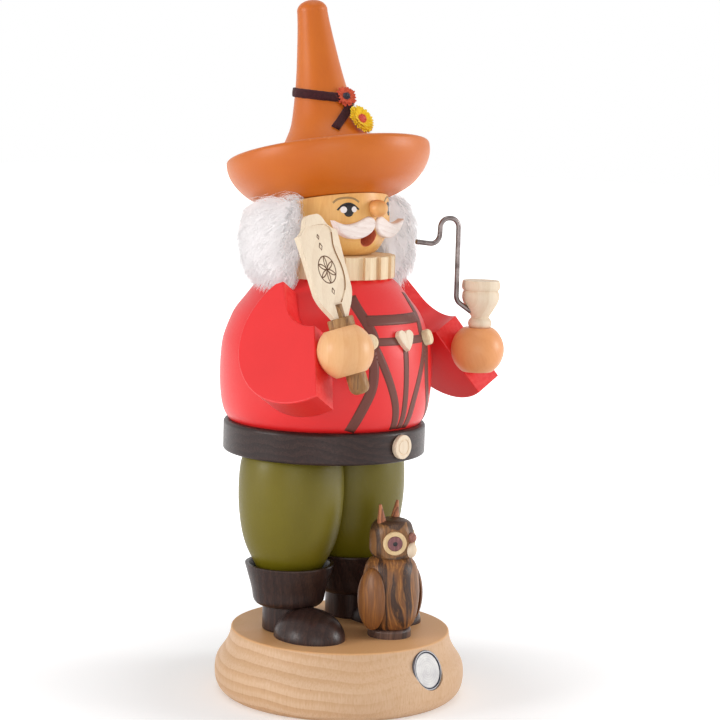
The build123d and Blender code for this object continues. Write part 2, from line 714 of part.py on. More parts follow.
def head():
    neck_foot = body_top - body_crown
    throat_top = collar_top + throat_height
    solid = head_form() + Pos(0, 0, neck_foot) * rod(neck_radius, collar_height + body_crown)
    solid -= turned((0, neck_foot - overrun), [(throat_radius, neck_foot - overrun)],
                    [(throat_radius, throat_top - throat_drill_cone)], [(0, throat_top)])
    face = on_surface(head_form(), mouth_angle, collar_top + mouth_height).origin
    mouth = facing(face, mouth_angle, -mouth_tilt)
    solid -= mouth.offset(-mouth_depth) * rod(mouth_radius, mouth_depth + overrun)
    solid -= nose_place() * hole(nose_peg_radius, nose_peg_length)
    solid = split(solid, bisect_by=Plane(hat_place), keep=Keep.BOTTOM)
    return solid - hat_place * Pos(0, 0, -hat_dowel_in_head) * hat_hole()


def nose():
    peg_length = nose_peg_length + nose_proud
    egg = Pos(0, 0, peg_length) * ball(nose_half_width, nose_half_width, nose_half_length)
    return nose_place() * egg - head_form(glue_gap) + nose_place() * rod(nose_peg_radius, peg_length)


def moustache():
    def at(share_out, share_high):
        out = moustache_gap + share_out * (moustache_reach - moustache_gap)
        return (-out, collar_top + moustache_low + share_high * moustache_high)

    outline = make_face([Spline(*[at(*share) for share in shares])
                         for shares in (moustache_top_shares, moustache_foot_shares)])
    sawn = extrude(outline, -moustache_thick)
    sawn = fillet(sawn.faces().sort_by(Axis.Z)[-1].edges(), moustache_edge)
    front = Plane((0, -moustache_front, 0), x_dir=(1, 0, 0), z_dir=(0, -1, 0))
    return front * Rot(0, -moustache_sweep, 0) * sawn - head_form(glue_gap)


def collar():
    ring = rod(collar_radius, collar_height)
    for height in (0, collar_height):
        ring = fillet(rims(ring, height), collar_edge)
    ring -= rod(neck_radius + neck_fit, collar_height)
    flute = Box(2 * collar_flute_depth, collar_flute_width, collar_height, align=standing)
    ring -= [spot * flute for spot in PolarLocations(collar_radius, collar_flutes)]
    return Pos(0, 0, body_top) * ring


def hair():
    """A bolster round the sides and back of the head, above the shoulders and below the hat."""
    foot, top = body_top - hair_below_body_top, body_top - hair_below_body_top + hair_height
    side = spread(hair_side_shares, hair_radius, hair_height, foot)
    face = make_face([Line((0, 0, foot), (side[0][0], 0, foot)), Spline(*[(r, 0, z) for r, z in side]),
                      Line((side[-1][0], 0, top), (0, 0, top)), Line((0, 0, top), (0, 0, foot))])
    bolster = revolve(face, Axis.Z, revolution_arc=360 - hair_left_start - hair_right_start)
    bolster = Pos(hair_side, 0, 0) * Rot(0, 0, hair_left_start - 90) * bolster
    bolster -= Pos(0, 0, foot) * rod(head_radius + hair_gap, hair_height)
    bolster -= Pos(0, 0, foot) * rod(collar_radius + hair_gap, collar_top + hair_gap - foot)
    bolster -= body_form(hair_gap)
    return bolster - hat_place * Pos(0, 0, -hair_gap) * hat_form()


# Hat, band and flowers, about the hat's axis from its foot
def hat_form(grow=0.0):
    foot, rim, hollow = (spread(shares, hat_brim_radius, hat_brim_height, 0, grow)
                         for shares in (hat_foot_shares, hat_rim_shares, hat_bowl_shares))
    cone, tip = (spread(shares, hat_brim_radius, hat_height, 0, grow)
                 for shares in (hat_cone_shares, hat_tip_shares))
    return turned((0, 0), [(hat_foot_radius, 0)], [foot[0]], foot[1:], rim, hollow + cone, tip,
                  [(0, hat_height)])


def hat_hole():
    return hole(hat_dowel_radius, hat_dowel_in_head + hat_dowel_in_hat)


def band():
    """The strip round the cone, with its hanging end."""
    skin = hat_form(band_thick) - hat_form(glue_gap)
    loop = Pos(0, 0, band_height) * Rot(band_slope, 0, 0) * Box(2 * band_reach, 2 * band_reach, band_width)
    hang = Pos(band_tail_side, 0, band_tail_top) * Rot(0, band_tail_lean, 0)
    tail = hang * Box(band_width, band_reach, band_tail_length, align=(Align.CENTER, Align.MAX, Align.MAX))
    return (skin & loop) + (skin & tail)


def flower(radius):
    """A daisy facing up from the XY plane."""
    outline = Circle(flower_heart_share * radius)
    for turn in range(flower_petals // 2):
        petals = SlotOverall(2 * radius, flower_petal_share * radius)
        outline += Rot(0, 0, turn * 360 / flower_petals) * petals
    return extrude(outline, flower_thick)


def make_hat():
    place = figure * hat_place
    dowel_foot = Pos(0, 0, -hat_dowel_in_head)
    keep("hat", hat_form() - dowel_foot * hat_hole(), place)
    keep("hat_dowel", dowel_foot * dowel(hat_dowel_radius, hat_dowel_in_head + hat_dowel_in_hat), place)
    keep("hat_band", band(), place)
    cone = hat_form(band_thick)
    for name, radius, height, angle, turn in (
            ("orange_flower", orange_flower_radius, orange_flower_height, orange_flower_angle,
             orange_flower_turn),
            ("yellow_flower", yellow_flower_radius, yellow_flower_height, yellow_flower_angle,
             yellow_flower_turn)):
        seat = Plane(on_surface(cone, angle, height).offset(flower_stand).location * Rot(0, turn, 0))
        button = rod(flower_button_share * radius, flower_button_height)
        button = fillet(rims(button, flower_button_height), flower_button_share * radius / 2)
        keep(name, seat * flower(radius) - cone, place)
        keep(f"{name}_button", seat.offset(flower_thick) * button, place)


# Heart and brace buttons, square on the front of the body
def heart():
    def at(share_out, share_high, side=1):
        return (side * share_out * heart_half_width, (share_high - 1 / 2) * heart_height)

    edges = []
    for side in (-1, 1):
        lobe, widest = (at(*share, side) for share in heart_lobe_shares)
        edges.append(ThreePointArc(at(0, heart_notch_share), lobe, widest))
        edges.append(Spline(widest, at(*heart_side_shares, side), at(0, 0)))
    plate = extrude(make_face(edges), heart_proud, both=True)
    return fillet(plate.faces().sort_by(Axis.Z)[-1].edges(), heart_edge)


def make_trim():
    seat = body_form(glue_gap)
    height = belt_top + brace_height
    keep("heart", on_surface(body_form(), 0, height) * heart() - seat, figure)
    knob = fillet(rims(Cylinder(button_radius, 2 * button_proud), button_proud), button_edge)
    knob = on_surface(body_form(), -button_angle, height) * knob - seat
    keep("right_brace_button", knob, figure)
    keep("left_brace_button", mirrored(knob), figure)


# Owl, about its own axis, facing the front
def owl_turned(shares, radius, height, foot):
    side = spread(shares, radius, height, foot)
    return turned((0, foot), [side[0]], side[1:], [(0, foot + height)])


def make_owl():
    pin_foot = base_height - owl_foot_height
    pin_length = owl_head_foot + owl_dowel_in_head - pin_foot
    pin_hole = Pos(0, 0, pin_foot) * hole(owl_dowel_radius, pin_length)
    keep("owl_dowel", Pos(0, 0, pin_foot) * dowel(owl_dowel_radius, pin_length), owl)
    foot = Pos(0, 0, base_height) * rod(owl_foot_radius, owl_foot_height)
    keep("owl_foot", fillet(rims(foot, owl_body_foot), owl_foot_edge) - pin_hole, owl)

    trunk = owl_turned(owl_body_shares, owl_body_radius, owl_body_height, owl_body_foot) - pin_hole
    head_solid = owl_turned(owl_head_shares, owl_head_radius, owl_head_height, owl_head_foot) - pin_hole
    for name, side in (("right", -1), ("left", 1)):
        beside = facing((side * owl_wing_flat, 0, owl_body_foot + owl_wing_height), side * 90)
        trunk -= beside * Box(4 * owl_body_radius, 4 * owl_body_height, owl_body_radius, align=standing)
        wing = split(ball(owl_wing_half_width, owl_wing_half_height, owl_wing_thick), bisect_by=Plane.XY)
        keep(f"{name}_owl_wing", beside * wing, owl)

        out = way(side * owl_face_angle) * owl_face_flat
        flat = facing((out.X, out.Y, owl_head_foot + owl_eye_height), side * owl_face_angle)
        head_solid -= flat * Box(4 * owl_head_radius, 4 * owl_head_height, owl_head_radius, align=standing)
        ring = fillet(rims(rod(owl_eye_radius, owl_eye_thick), owl_eye_thick), owl_eye_edge)
        keep(f"{name}_owl_eye", flat * (ring - rod(owl_iris_radius, owl_eye_thick)), owl_face)
        iris_height = owl_eye_thick + owl_iris_proud
        iris = rod(owl_iris_radius - glue_gap, iris_height)
        keep(f"{name}_owl_iris", flat * fillet(rims(iris, iris_height), owl_iris_proud), owl_face)

        ear_foot = owl_head_foot + owl_head_height - owl_ear_depth
        lean = Pos(side * owl_ear_side, owl_ear_back, ear_foot) * Rot(0, side * owl_ear_lean, 0)
        ear = Cone(owl_ear_radius, owl_ear_tip_radius, owl_ear_length, align=standing)
        head_solid -= lean * Cone(owl_ear_radius + glue_gap, owl_ear_tip_radius + glue_gap, owl_ear_length,
                                  align=standing)
        keep(f"{name}_owl_ear", lean * ear, owl_face)

    ridge = min(owl_face_flat / cos(radians(owl_face_angle)), owl_head_radius)
    beak = ball(owl_beak_half_width, owl_beak_half_length, owl_beak_half_height)
    beak = Pos(0, -ridge, owl_head_foot + owl_beak_height) * beak
    cere = Pos(0, -ridge, owl_head_foot + owl_cere_height) * Sphere(owl_cere_radius)
    seat = Pos(0, 0, owl_head_foot) * rod(owl_head_radius + glue_gap, owl_head_height)
    keep("owl_beak", beak - seat, owl_face)
    keep("owl_cere", cere - seat - beak, owl_face)
    keep("owl_body", trunk, owl)
    keep("owl_head", head_solid, owl_face)


make_base()
make_legs()
make_belt()
make_arms()
keep("head", head(), figure)
keep("nose", nose(), figure)
keep("right_moustache", moustache(), figure)
keep("left_moustache", mirrored(moustache()), figure)
keep("collar", collar(), figure)
keep("hair", hair(), figure)
make_hat()
make_trim()
make_owl()
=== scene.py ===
import math

import bpy
import numpy as np
from mathutils import Matrix, Vector, noise
from mathutils.bvhtree import BVHTree


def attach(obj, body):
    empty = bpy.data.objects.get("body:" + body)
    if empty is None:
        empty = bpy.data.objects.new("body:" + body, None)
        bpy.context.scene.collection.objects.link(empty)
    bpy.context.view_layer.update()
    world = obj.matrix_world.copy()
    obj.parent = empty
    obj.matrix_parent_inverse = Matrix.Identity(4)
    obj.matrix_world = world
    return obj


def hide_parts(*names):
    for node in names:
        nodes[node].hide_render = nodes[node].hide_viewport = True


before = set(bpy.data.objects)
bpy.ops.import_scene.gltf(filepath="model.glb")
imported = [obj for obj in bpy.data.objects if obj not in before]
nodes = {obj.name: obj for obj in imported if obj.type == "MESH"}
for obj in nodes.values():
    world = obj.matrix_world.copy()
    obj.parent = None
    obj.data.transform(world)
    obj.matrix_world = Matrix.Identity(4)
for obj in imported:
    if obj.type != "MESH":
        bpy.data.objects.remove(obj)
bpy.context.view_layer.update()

# An incense smoker figure of turned wood beside a small owl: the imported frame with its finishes,
# and the fur, the suede band, the flowers and the painted lines as pieces of their own. +Z is up.

MM = 0.001
FIGURE_AXIS = (0.0, 11.0)  # mm, the axis that the figure's turned pieces share
VIEW_ANGLE = -48.5  # degrees from the front, where the camera stands
VIEW = math.radians(VIEW_ANGLE)
VIEW_RIGHT = (0.663, -0.749)  # level, to the camera's right
SHADER_MM = 1000  # millimetres to a metre, for the shaders' coordinates
RING_SCALE = 0.31416  # the wave node's scale for growth rings one millimetre apart
rng = np.random.default_rng(11)


def new_object(name, data):
    o = bpy.data.objects.new(name, data)
    bpy.context.scene.collection.objects.link(o)
    return o


# Colours and node materials
def rgb(r, g, b):
    """An sRGB colour from 0 to 255, as Blender's linear colour."""
    line = [v / 255 for v in (r, g, b)]
    return tuple(v / 12.92 if v <= 0.04045 else ((v + 0.055) / 1.055) ** 2.4 for v in line) + (1.0,)


def tones(*colours):
    """Several (red, green, blue) of 0 to 255, as linear colours."""
    return [rgb(*c) for c in colours]


class Graph:
    """A material's node tree, with short calls for the nodes that these materials use."""

    def __init__(self, name, **shader):
        self.mat = bpy.data.materials.new(name)
        self.mat.use_nodes = True
        self.tree = self.mat.node_tree
        self.shader = self.tree.nodes["Principled BSDF"]
        for key, value in shader.items():
            self.shader.inputs[key.replace("_", " ")].default_value = value
        self.coords = self.tree.nodes.new("ShaderNodeTexCoord").outputs["Object"]

    def node(self, kind, values=(), **props):
        n = self.tree.nodes.new("ShaderNode" + kind)
        for key, value in props.items():
            setattr(n, key, value)
        for key, value in dict(values).items():
            if isinstance(value, bpy.types.NodeSocket):
                self.tree.links.new(value, n.inputs[key])
            else:
                n.inputs[key].default_value = value
        return n

    def place(self, move=(0, 0, 0), turn=(0, 0, 0), scale=(1, 1, 1), vector=None):
        """Coordinates in millimetres, turned and moved."""
        if vector is None:
            vector = self.node("Mapping", {"Vector": self.coords,
                                           "Scale": (SHADER_MM,) * 3}).outputs[0]
        return self.node("Mapping", {"Vector": vector, "Location": move, "Scale": scale,
                                     "Rotation": tuple(math.radians(a) for a in turn)}).outputs[0]

    def noise(self, vector, scale, detail=3.0, rough=0.5):
        return self.node("TexNoise", {"Vector": vector, "Scale": scale, "Detail": detail,
                                      "Roughness": rough}).outputs["Fac"]

    def math(self, what, a, b=0.0, clamp=False):
        return self.node("Math", {0: a, 1: b}, operation=what, use_clamp=clamp).outputs[0]

    def times(self, a, b):
        return self.math("MULTIPLY", a, b)

    def swing(self, value, reach):
        """A noise of 0 to 1 as a swing of that reach about nought."""
        return self.times(self.math("SUBTRACT", value, 0.5), reach)

    def vector(self, what, a, b=(0, 0, 0), out="Vector"):
        return self.node("VectorMath", {0: a, 1: b}, operation=what).outputs[out]

    def level(self):
        """The height, in millimetres."""
        return self.node("SeparateXYZ", {0: self.place()}).outputs["Z"]

    def span(self, value, low, high, to_low=0.0, to_high=1.0):
        """The value from low to high as one from to_low to to_high, held there."""
        return self.node("MapRange", {"Value": value, "From Min": low, "From Max": high,
                                      "To Min": to_low, "To Max": to_high},
                         clamp=True).outputs["Result"]

    def ramp(self, value, low, middle, high, at=0.5):
        n = self.node("ValToRGB", {"Fac": value})
        n.color_ramp.interpolation = "EASE"
        n.color_ramp.elements.new(at)
        for element, colour in zip(n.color_ramp.elements, (low, middle, high)):
            element.color = colour
        return n.outputs["Color"]

    def mix(self, factor, a, b):
        """Colour a, going over to b. The node's colour sockets are 6 and 7 in and 2 out."""
        return self.node("Mix", {"Factor": factor, 6: a, 7: b}, data_type="RGBA").outputs[2]

    def finish(self, colour, rough, height=None, depth=0.05):
        """Links the colour, the roughness and a bump of so many millimetres: the material."""
        self.tree.links.new(colour, self.shader.inputs["Base Color"])
        self.tree.links.new(rough, self.shader.inputs["Roughness"])
        if height is not None:
            bump = self.node("Bump", {"Height": height, "Strength": 1.0, "Distance": depth * MM})
            self.tree.links.new(bump.outputs[0], self.shader.inputs["Normal"])
        return self.mat


def timber(g, move, turn, ring, wobble=10.0, fibre=1.0):
    """Growth rings, fibres and pores along the turned coordinates' Z, each from 0 to 1."""
    at = g.place(move, turn)
    drift = g.noise(g.place(scale=(1, 1, 0.25), vector=at), 0.045, 2.0)
    shift = g.swing(drift, wobble)
    bent = g.vector("ADD", at, g.node("CombineXYZ", {"X": shift, "Y": shift}).outputs[0])
    rings = g.node("TexWave", {"Vector": bent, "Scale": RING_SCALE / ring, "Distortion": 0.6,
                               "Detail": 2.0, "Detail Scale": 1.5, "Detail Roughness": 0.5},
                   wave_type="RINGS", rings_direction="Z", wave_profile="SAW").outputs["Fac"]
    fibres = g.noise(g.place(scale=(1, 1, 0.035), vector=bent), 1.3 * fibre, 5.0, 0.6)
    pores = g.noise(g.place(scale=(1, 1, 0.09), vector=bent), 2.6 * fibre, 2.0)
    return rings, fibres, g.span(pores, 0.60, 0.70)


def wood(name, pale, middle, dark, ring=3.5, rings_share=0.5, fibre_share=0.5, pore_share=0.3,
         turn=(0, 0, 0), move=(0, 60, 0), rough=0.5, bump=0.05, coat=0.0, fibre=1.0, wear=None,
         gloss=0.3):
    """Clear or stained wood with its grain. Each share is how strongly those lines darken it."""
    g = Graph(name, Coat_Weight=coat, Coat_Roughness=0.3, Specular_IOR_Level=gloss)
    rings, fibres, pores = timber(g, move, turn, ring, fibre=fibre)
    late = g.times(g.span(rings, 0.35, 1.0), rings_share)
    value = g.math("ADD", late, g.times(g.span(fibres, 0.3, 0.7), fibre_share))
    value = g.math("ADD", value, g.times(pores, pore_share), clamp=True)
    colour = g.ramp(value, *tones(pale, middle, dark))
    cloud = g.noise(g.place(), 0.03, 2.0)
    colour = g.mix(g.span(cloud, 0.35, 0.65, 0.0, 0.22), colour, rgb(*pale))
    if wear is not None:
        colour = g.mix(worn(g), colour, rgb(*wear))
    height = g.math("SUBTRACT", g.times(fibres, 0.6), g.times(pores, 0.6))
    return g.finish(colour, g.span(fibres, 0.2, 0.8, rough - 0.07, rough + 0.07), height, bump)


def worn(g, share=0.22):
    """Where edges have rubbed paler, broken up by noise."""
    edge = g.node("NewGeometry").outputs["Pointiness"]
    broken = g.noise(g.place(), 0.7, 3.0)
    return g.times(g.span(edge, 0.53, 0.60, 0.0, share), g.span(broken, 0.4, 0.6))


def paint(name, colour, deep, pale, rough=0.42, coat=0.15, bump=0.03, smooth=0.25, specks=0.5):
    """Satin paint over turned wood: a cloudy colour, the grain just showing, and small specks."""
    g = Graph(name, Coat_Weight=coat, Coat_Roughness=smooth, Specular_IOR_Level=0.3)
    colour, deep, pale = tones(colour, deep, pale)
    fibres = timber(g, (0, 60, 0), (0, 0, 0), 5.0)[1]
    cloud = g.noise(g.place(), 0.035, 3.0)
    tone = g.mix(g.span(cloud, 0.3, 0.7), colour, deep)
    tone = g.mix(g.times(g.span(fibres, 0.45, 0.75), 0.22), tone, deep)
    speck = g.span(g.noise(g.place(), 1.9, 2.0, 0.7), 0.68, 0.76, 0.0, specks)
    tone = g.mix(speck, tone, pale)
    tone = g.mix(worn(g, 0.35), tone, pale)
    skin = g.noise(g.place(), 1.2, 2.0)
    height = g.math("ADD", g.times(fibres, 0.5), g.times(skin, 0.5))
    return g.finish(tone, g.span(skin, 0.3, 0.7, rough - 0.05, rough + 0.06), height, bump)


def metal(name, colour, dull, rough):
    """Drawn or pressed metal, with lines along its height and dull stains."""
    g = Graph(name, Metallic=1.0)
    colour, dull = tones(colour, dull)
    lines = g.noise(g.place(scale=(1, 1, 0.05)), 3.5, 3.0, 0.6)
    stain = g.noise(g.place(), 0.25, 3.0)
    tone = g.mix(g.span(stain, 0.4, 0.7), colour, dull)
    return g.finish(tone, g.span(lines, 0.3, 0.7, rough - 0.08, rough + 0.14), lines, 0.02)


def cloth(name, colour, deep, rough=0.85, sheen=0.4, scale=3.0, bump=0.12, glow=0.0):
    """Felted or napped stuff. The glow stands for light that goes on from hair to white hair."""
    g = Graph(name, Sheen_Weight=sheen, Sheen_Roughness=0.5, Specular_IOR_Level=0.2,
              Emission_Color=(1.0, 0.985, 0.985, 1.0), Emission_Strength=glow)
    colour, deep = tones(colour, deep)
    nap = g.noise(g.place(), scale, 4.0, 0.65)
    patch = g.noise(g.place(), scale * 0.22, 3.0)
    tone = g.mix(g.span(nap, 0.3, 0.7), deep, colour)
    tone = g.mix(g.span(patch, 0.35, 0.7, 0.0, 0.5), tone, deep)
    return g.finish(tone, g.span(nap, 0.2, 0.8, rough - 0.08, rough + 0.08), nap, bump)


# The woods: pale, middle and dark colours, and how the grain lies
MAPLE = dict(ring=4.0, rings_share=0.3, fibre_share=0.35, pore_share=0.15)
SATIN = dict(fibre_share=0.25, pore_share=0.06, rough=0.42, bump=0.015, coat=0.2)
maple = wood("maple", (240, 222, 198), (232, 210, 182), (208, 178, 144), rough=0.52, bump=0.04,
             move=(35, 40, 0), **MAPLE)
pale_maple = wood("pale_maple", (236, 218, 192), (228, 207, 180), (204, 174, 142), rough=0.52,
                  bump=0.04, move=(35, 40, 0), **MAPLE)
collar_wood = wood("collar_wood", (246, 228, 194), (234, 208, 168), (194, 160, 118), ring=3.0,
                   rings_share=0.35, pore_share=0.25, rough=0.55, bump=0.06, move=(35, 40, 0))
dark_stain = wood("dark_stain", (66, 45, 38), (44, 29, 26), (20, 12, 11), ring=3.2, rings_share=0.3,
                  pore_share=0.5, rough=0.34, bump=0.06, coat=0.12, gloss=0.2, wear=(88, 64, 54))
belt_stain = wood("belt_stain", (60, 41, 36), (40, 26, 24), (18, 11, 11), ring=3.2,
                  rings_share=0.35, pore_share=0.5, turn=(0, 86, 30), move=(20, 10, 0), rough=0.36,
                  bump=0.06, coat=0.1, gloss=0.2, wear=(88, 66, 56))
walnut = wood("walnut", (182, 140, 92), (146, 104, 62), (92, 60, 36), ring=3.0, pore_share=0.35,
              rough=0.45, move=(8, 9, 0))
purple_wood = wood("purple_wood", (150, 98, 98), (122, 76, 78), (84, 50, 54), ring=1.2, rough=0.42,
                   coat=0.15)
white_wood = wood("white_wood", (248, 238, 232), (238, 224, 216), (206, 182, 170), ring=2.2,
                  rings_share=0.35, pore_share=0.35, turn=(0, 80, 0), move=(10, 12, 0), rough=0.6,
                  bump=0.08)
hand_wood = wood("hand_wood", (236, 182, 128), (228, 168, 112), (206, 142, 92), ring=5.0,
                 rings_share=0.22, **SATIN)
left_hand_wood = wood("left_hand_wood", (236, 162, 104), (228, 150, 92), (204, 126, 76), ring=5.0,
                      rings_share=0.12, move=(0, 90, 0), turn=(0, 30, 0), **SATIN)
nose_wood = wood("nose_wood", (232, 174, 108), (224, 160, 94), (200, 132, 72), ring=3.2,
                 rings_share=0.22, **SATIN)
dowel_wood = wood("dowel_wood", (236, 208, 170), (222, 188, 144), (190, 150, 106), rough=0.6)
ring_wood = wood("ring_wood", (234, 206, 160), (224, 192, 144), (190, 152, 108), bump=0.03, **MAPLE)


def base_finish():
    """Beech sawn level: the growth rings are nested lines round the side, strongest at the figure's
    right and back, and fade to fine upright flecks."""
    g = Graph("beech", Specular_IOR_Level=0.3)
    ring_gap, rim_foot, rim_top = 3.7, 24.2, 24.9  # mm
    side = g.vector("DOT_PRODUCT", g.place(), (*VIEW_RIGHT, 0.0), "Value")
    height = g.level()
    drift = g.noise(g.place(scale=(1, 1, 0.6)), 0.02, 1.0)
    ripple = g.noise(g.place(scale=(1, 1, 0.4)), 0.16, 2.0)
    level = g.math("ADD", height, g.swing(drift, 12.0))
    level = g.math("ADD", level, g.swing(ripple, 0.7))
    bow = g.times(g.times(side, side), -0.0022)
    ring = g.math("FRACT", g.math("DIVIDE", g.math("ADD", level, bow), ring_gap))
    late = g.times(g.span(ring, 0.35, 0.93), g.span(ring, 1.0, 0.95))
    late = g.times(late, g.span(side, 24.0, -20.0, 0.06, 0.5))
    grain = g.noise(g.place(scale=(1, 1, 0.12)), 1.7, 3.0, 0.6)
    fleck = g.span(g.noise(g.place(scale=(1, 1, 0.22)), 2.3, 2.0), 0.58, 0.68)
    value = g.math("ADD", late, g.times(g.span(grain, 0.35, 0.7), 0.30))
    value = g.math("ADD", value, g.times(fleck, g.span(side, -20.0, 25.0, 0.10, 0.24)), clamp=True)
    colour = g.ramp(value, *tones((219, 184, 150), (206, 165, 126), (178, 134, 97)))
    cloud = g.noise(g.place(), 0.03, 2.0)
    colour = g.mix(g.span(cloud, 0.35, 0.65, 0.0, 0.3), colour, rgb(200, 156, 114))
    colour = g.mix(g.span(height, rim_foot, rim_top, 0.0, 0.7), colour, rgb(228, 170, 108))
    return g.finish(colour, g.span(grain, 0.2, 0.8, 0.44, 0.58), grain, 0.03)


beech = base_finish()


def striped(name, gold, brown, dark, move, lean, bands, share=0.9, caps=()):
    """Zebrano: a few broad dark bands with fine lines beside them, wavering on a golden brown and
    leaning so many degrees. A cap is the height of a dark patch where a band lies flat."""
    g = Graph(name, Coat_Weight=0.1, Coat_Roughness=0.3, Specular_IOR_Level=0.3)
    gold, brown, dark = tones(gold, brown, dark)
    at = g.place(move, (0, lean, -VIEW_ANGLE))
    bend = g.noise(g.place(scale=(1, 1, 0.5), vector=at), 0.07, 2.0)
    shift = g.swing(bend, 9.0)
    bent = g.vector("ADD", at, g.node("CombineXYZ", {"X": shift}).outputs[0])
    broad = g.noise(g.place(scale=(1, 0.22, 0.035), vector=bent), bands, 1.0, 0.4)
    narrow = g.noise(g.place(scale=(1, 0.22, 0.025), vector=bent), bands * 3.6, 2.0)
    fine = g.noise(g.place(scale=(1, 0.8, 0.06), vector=bent), 2.6, 4.0, 0.7)
    ground = g.ramp(g.span(narrow, 0.34, 0.66), gold, brown, gold, 0.55)
    ground = g.mix(g.times(g.span(fine, 0.45, 0.65), 0.55), ground, brown)
    band = g.span(broad, 0.565, 0.61)
    band = g.math("MAXIMUM", band, g.times(g.span(narrow, 0.57, 0.63), 0.7))
    level = g.math("ADD", g.level(), g.swing(g.noise(g.place(), 0.13, 2.0), 9.0))
    for at_height in caps:
        off = g.math("ABSOLUTE", g.math("SUBTRACT", level, at_height))
        band = g.math("MAXIMUM", band, g.span(off, 1.7, 1.1))
    mask = g.times(band, g.span(fine, 0.30, 0.50, 0.55, 1.0))
    colour = g.mix(g.times(mask, share), ground, dark)
    return g.finish(colour, g.span(fine, 0.2, 0.8, 0.38, 0.52), fine, 0.05)


zebrano = striped("zebrano", (166, 112, 60), (118, 76, 44), (38, 24, 22), move=(3.2, 0, 0), lean=6,
                  bands=0.42)
wing_zebrano = striped("wing_zebrano", (152, 98, 48), (118, 74, 40), (64, 42, 36), move=(14, 33, 0),
                       lean=4, bands=0.22, share=0.35)
head_zebrano = striped("head_zebrano", (168, 120, 70), (128, 88, 54), (44, 30, 27), move=(14, 0, 0),
                       lean=10, bands=0.25, share=0.85, caps=(70.0, 55.5))
foot_zebrano = striped("foot_zebrano", (112, 84, 70), (88, 66, 58), (46, 34, 32), move=(4, 13, 0),
                       lean=0, bands=0.3)
ear_wood = wood("ear_wood", (196, 128, 88), (166, 100, 66), (96, 58, 42), ring=0.9, rough=0.45,
                rings_share=0.7, fibre=1.6)
cere_wood = wood("cere_wood", (176, 124, 108), (146, 96, 84), (96, 58, 54), ring=0.9, rough=0.45)

# The paints (colour, deeper and paler), the metals (bright and dull) and the soft stuffs
red_paint = paint("red_paint", (232, 32, 34), (224, 27, 29), (240, 82, 78), rough=0.44, bump=0.02,
                  specks=0.3, coat=0.42, smooth=0.4)
olive_paint = paint("olive_paint", (112, 101, 8), (100, 89, 6), (140, 132, 66), rough=0.46,
                    coat=0.06)
hat_paint = paint("hat_paint", (208, 108, 12), (200, 98, 8), (226, 144, 78), rough=0.44, coat=0.32,
                  specks=0.2, smooth=0.42)
brown_line = paint("brown_line", (116, 64, 54), (100, 52, 44), (138, 88, 76), rough=0.5, coat=0.05)
black_line = paint("black_line", (26, 22, 24), (16, 14, 16), (52, 46, 46), rough=0.4, coat=0.2)
grey_line = paint("grey_line", (166, 136, 90), (150, 120, 78), (178, 150, 108), rough=0.5, coat=0.1)
white_dot = paint("white_dot", (244, 240, 238), (236, 230, 230), (250, 248, 246), rough=0.4)
burnt_line = paint("burnt_line", (120, 84, 58), (96, 66, 44), (160, 124, 92), rough=0.65, coat=0.0)
# Brown for the wall round the paddle's sunk panel: painted shade in the step.
panel_wall_shade = paint("panel_wall_shade", (178, 136, 92), (158, 116, 76), (206, 170, 128), rough=0.65,
                   coat=0.0)
wire = metal("wire", (132, 122, 120), (92, 82, 80), rough=0.32)
tinplate = metal("tinplate", (190, 188, 182), (150, 142, 130), rough=0.4)
suede = cloth("suede", (84, 36, 42), (36, 14, 18), sheen=0.08, scale=3.4)
orange_cloth = cloth("orange_cloth", (236, 108, 70), (206, 78, 52), sheen=0.2)
yellow_cloth = cloth("yellow_cloth", (255, 222, 40), (250, 202, 18), sheen=0.2)
dark_fuzz = cloth("dark_fuzz", (84, 80, 96), (40, 34, 44), scale=4.0)
pink_fuzz = cloth("pink_fuzz", (244, 124, 104), (228, 84, 74), scale=4.0)
cream_bits = cloth("cream_bits", (236, 218, 170), (200, 174, 116), sheen=0.3, scale=4.0)
# The fur and its undercoat glow a little: painted light, for light passed on from hair to hair.
fur_white = cloth("fur_white", (253, 250, 250), (242, 235, 235), rough=0.8, sheen=0.3, scale=0.35,
                  bump=0.01, glow=0.17)
fur_under = cloth("fur_under", (252, 248, 248), (236, 226, 226), rough=0.9, sheen=0.3, scale=1.6,
                  bump=0.1, glow=0.25)


def badge_finish():
    """Bare brushed metal, dark where the turned rim steps down."""
    g = Graph("badge_metal", Metallic=1.0)
    centre = (-0.316, -45.301, 16.4)
    off = g.vector("DISTANCE", g.place(), centre, "Value")
    lines = g.noise(g.place(turn=(0, 90, 0), scale=(1, 1, 0.05)), 3.5, 3.0, 0.6)
    stain = g.noise(g.place(), 0.25, 3.0)
    face = g.mix(g.span(stain, 0.4, 0.7), rgb(190, 188, 186), rgb(176, 174, 174))
    circles = g.math("FRACT", g.math("DIVIDE", off, 0.9))
    face = g.mix(g.span(circles, 0.80, 0.95, 0.0, 0.35), face, rgb(126, 125, 128))
    dark = g.times(g.span(off, 6.35, 6.6), g.span(off, 7.1, 6.95))
    tone = g.mix(dark, face, rgb(58, 60, 72))
    tone = g.mix(g.span(off, 7.2, 7.35), tone, rgb(120, 120, 128))
    return g.finish(tone, g.span(lines, 0.3, 0.7, 0.62, 0.74), lines, 0.02)


badge_metal = badge_finish()


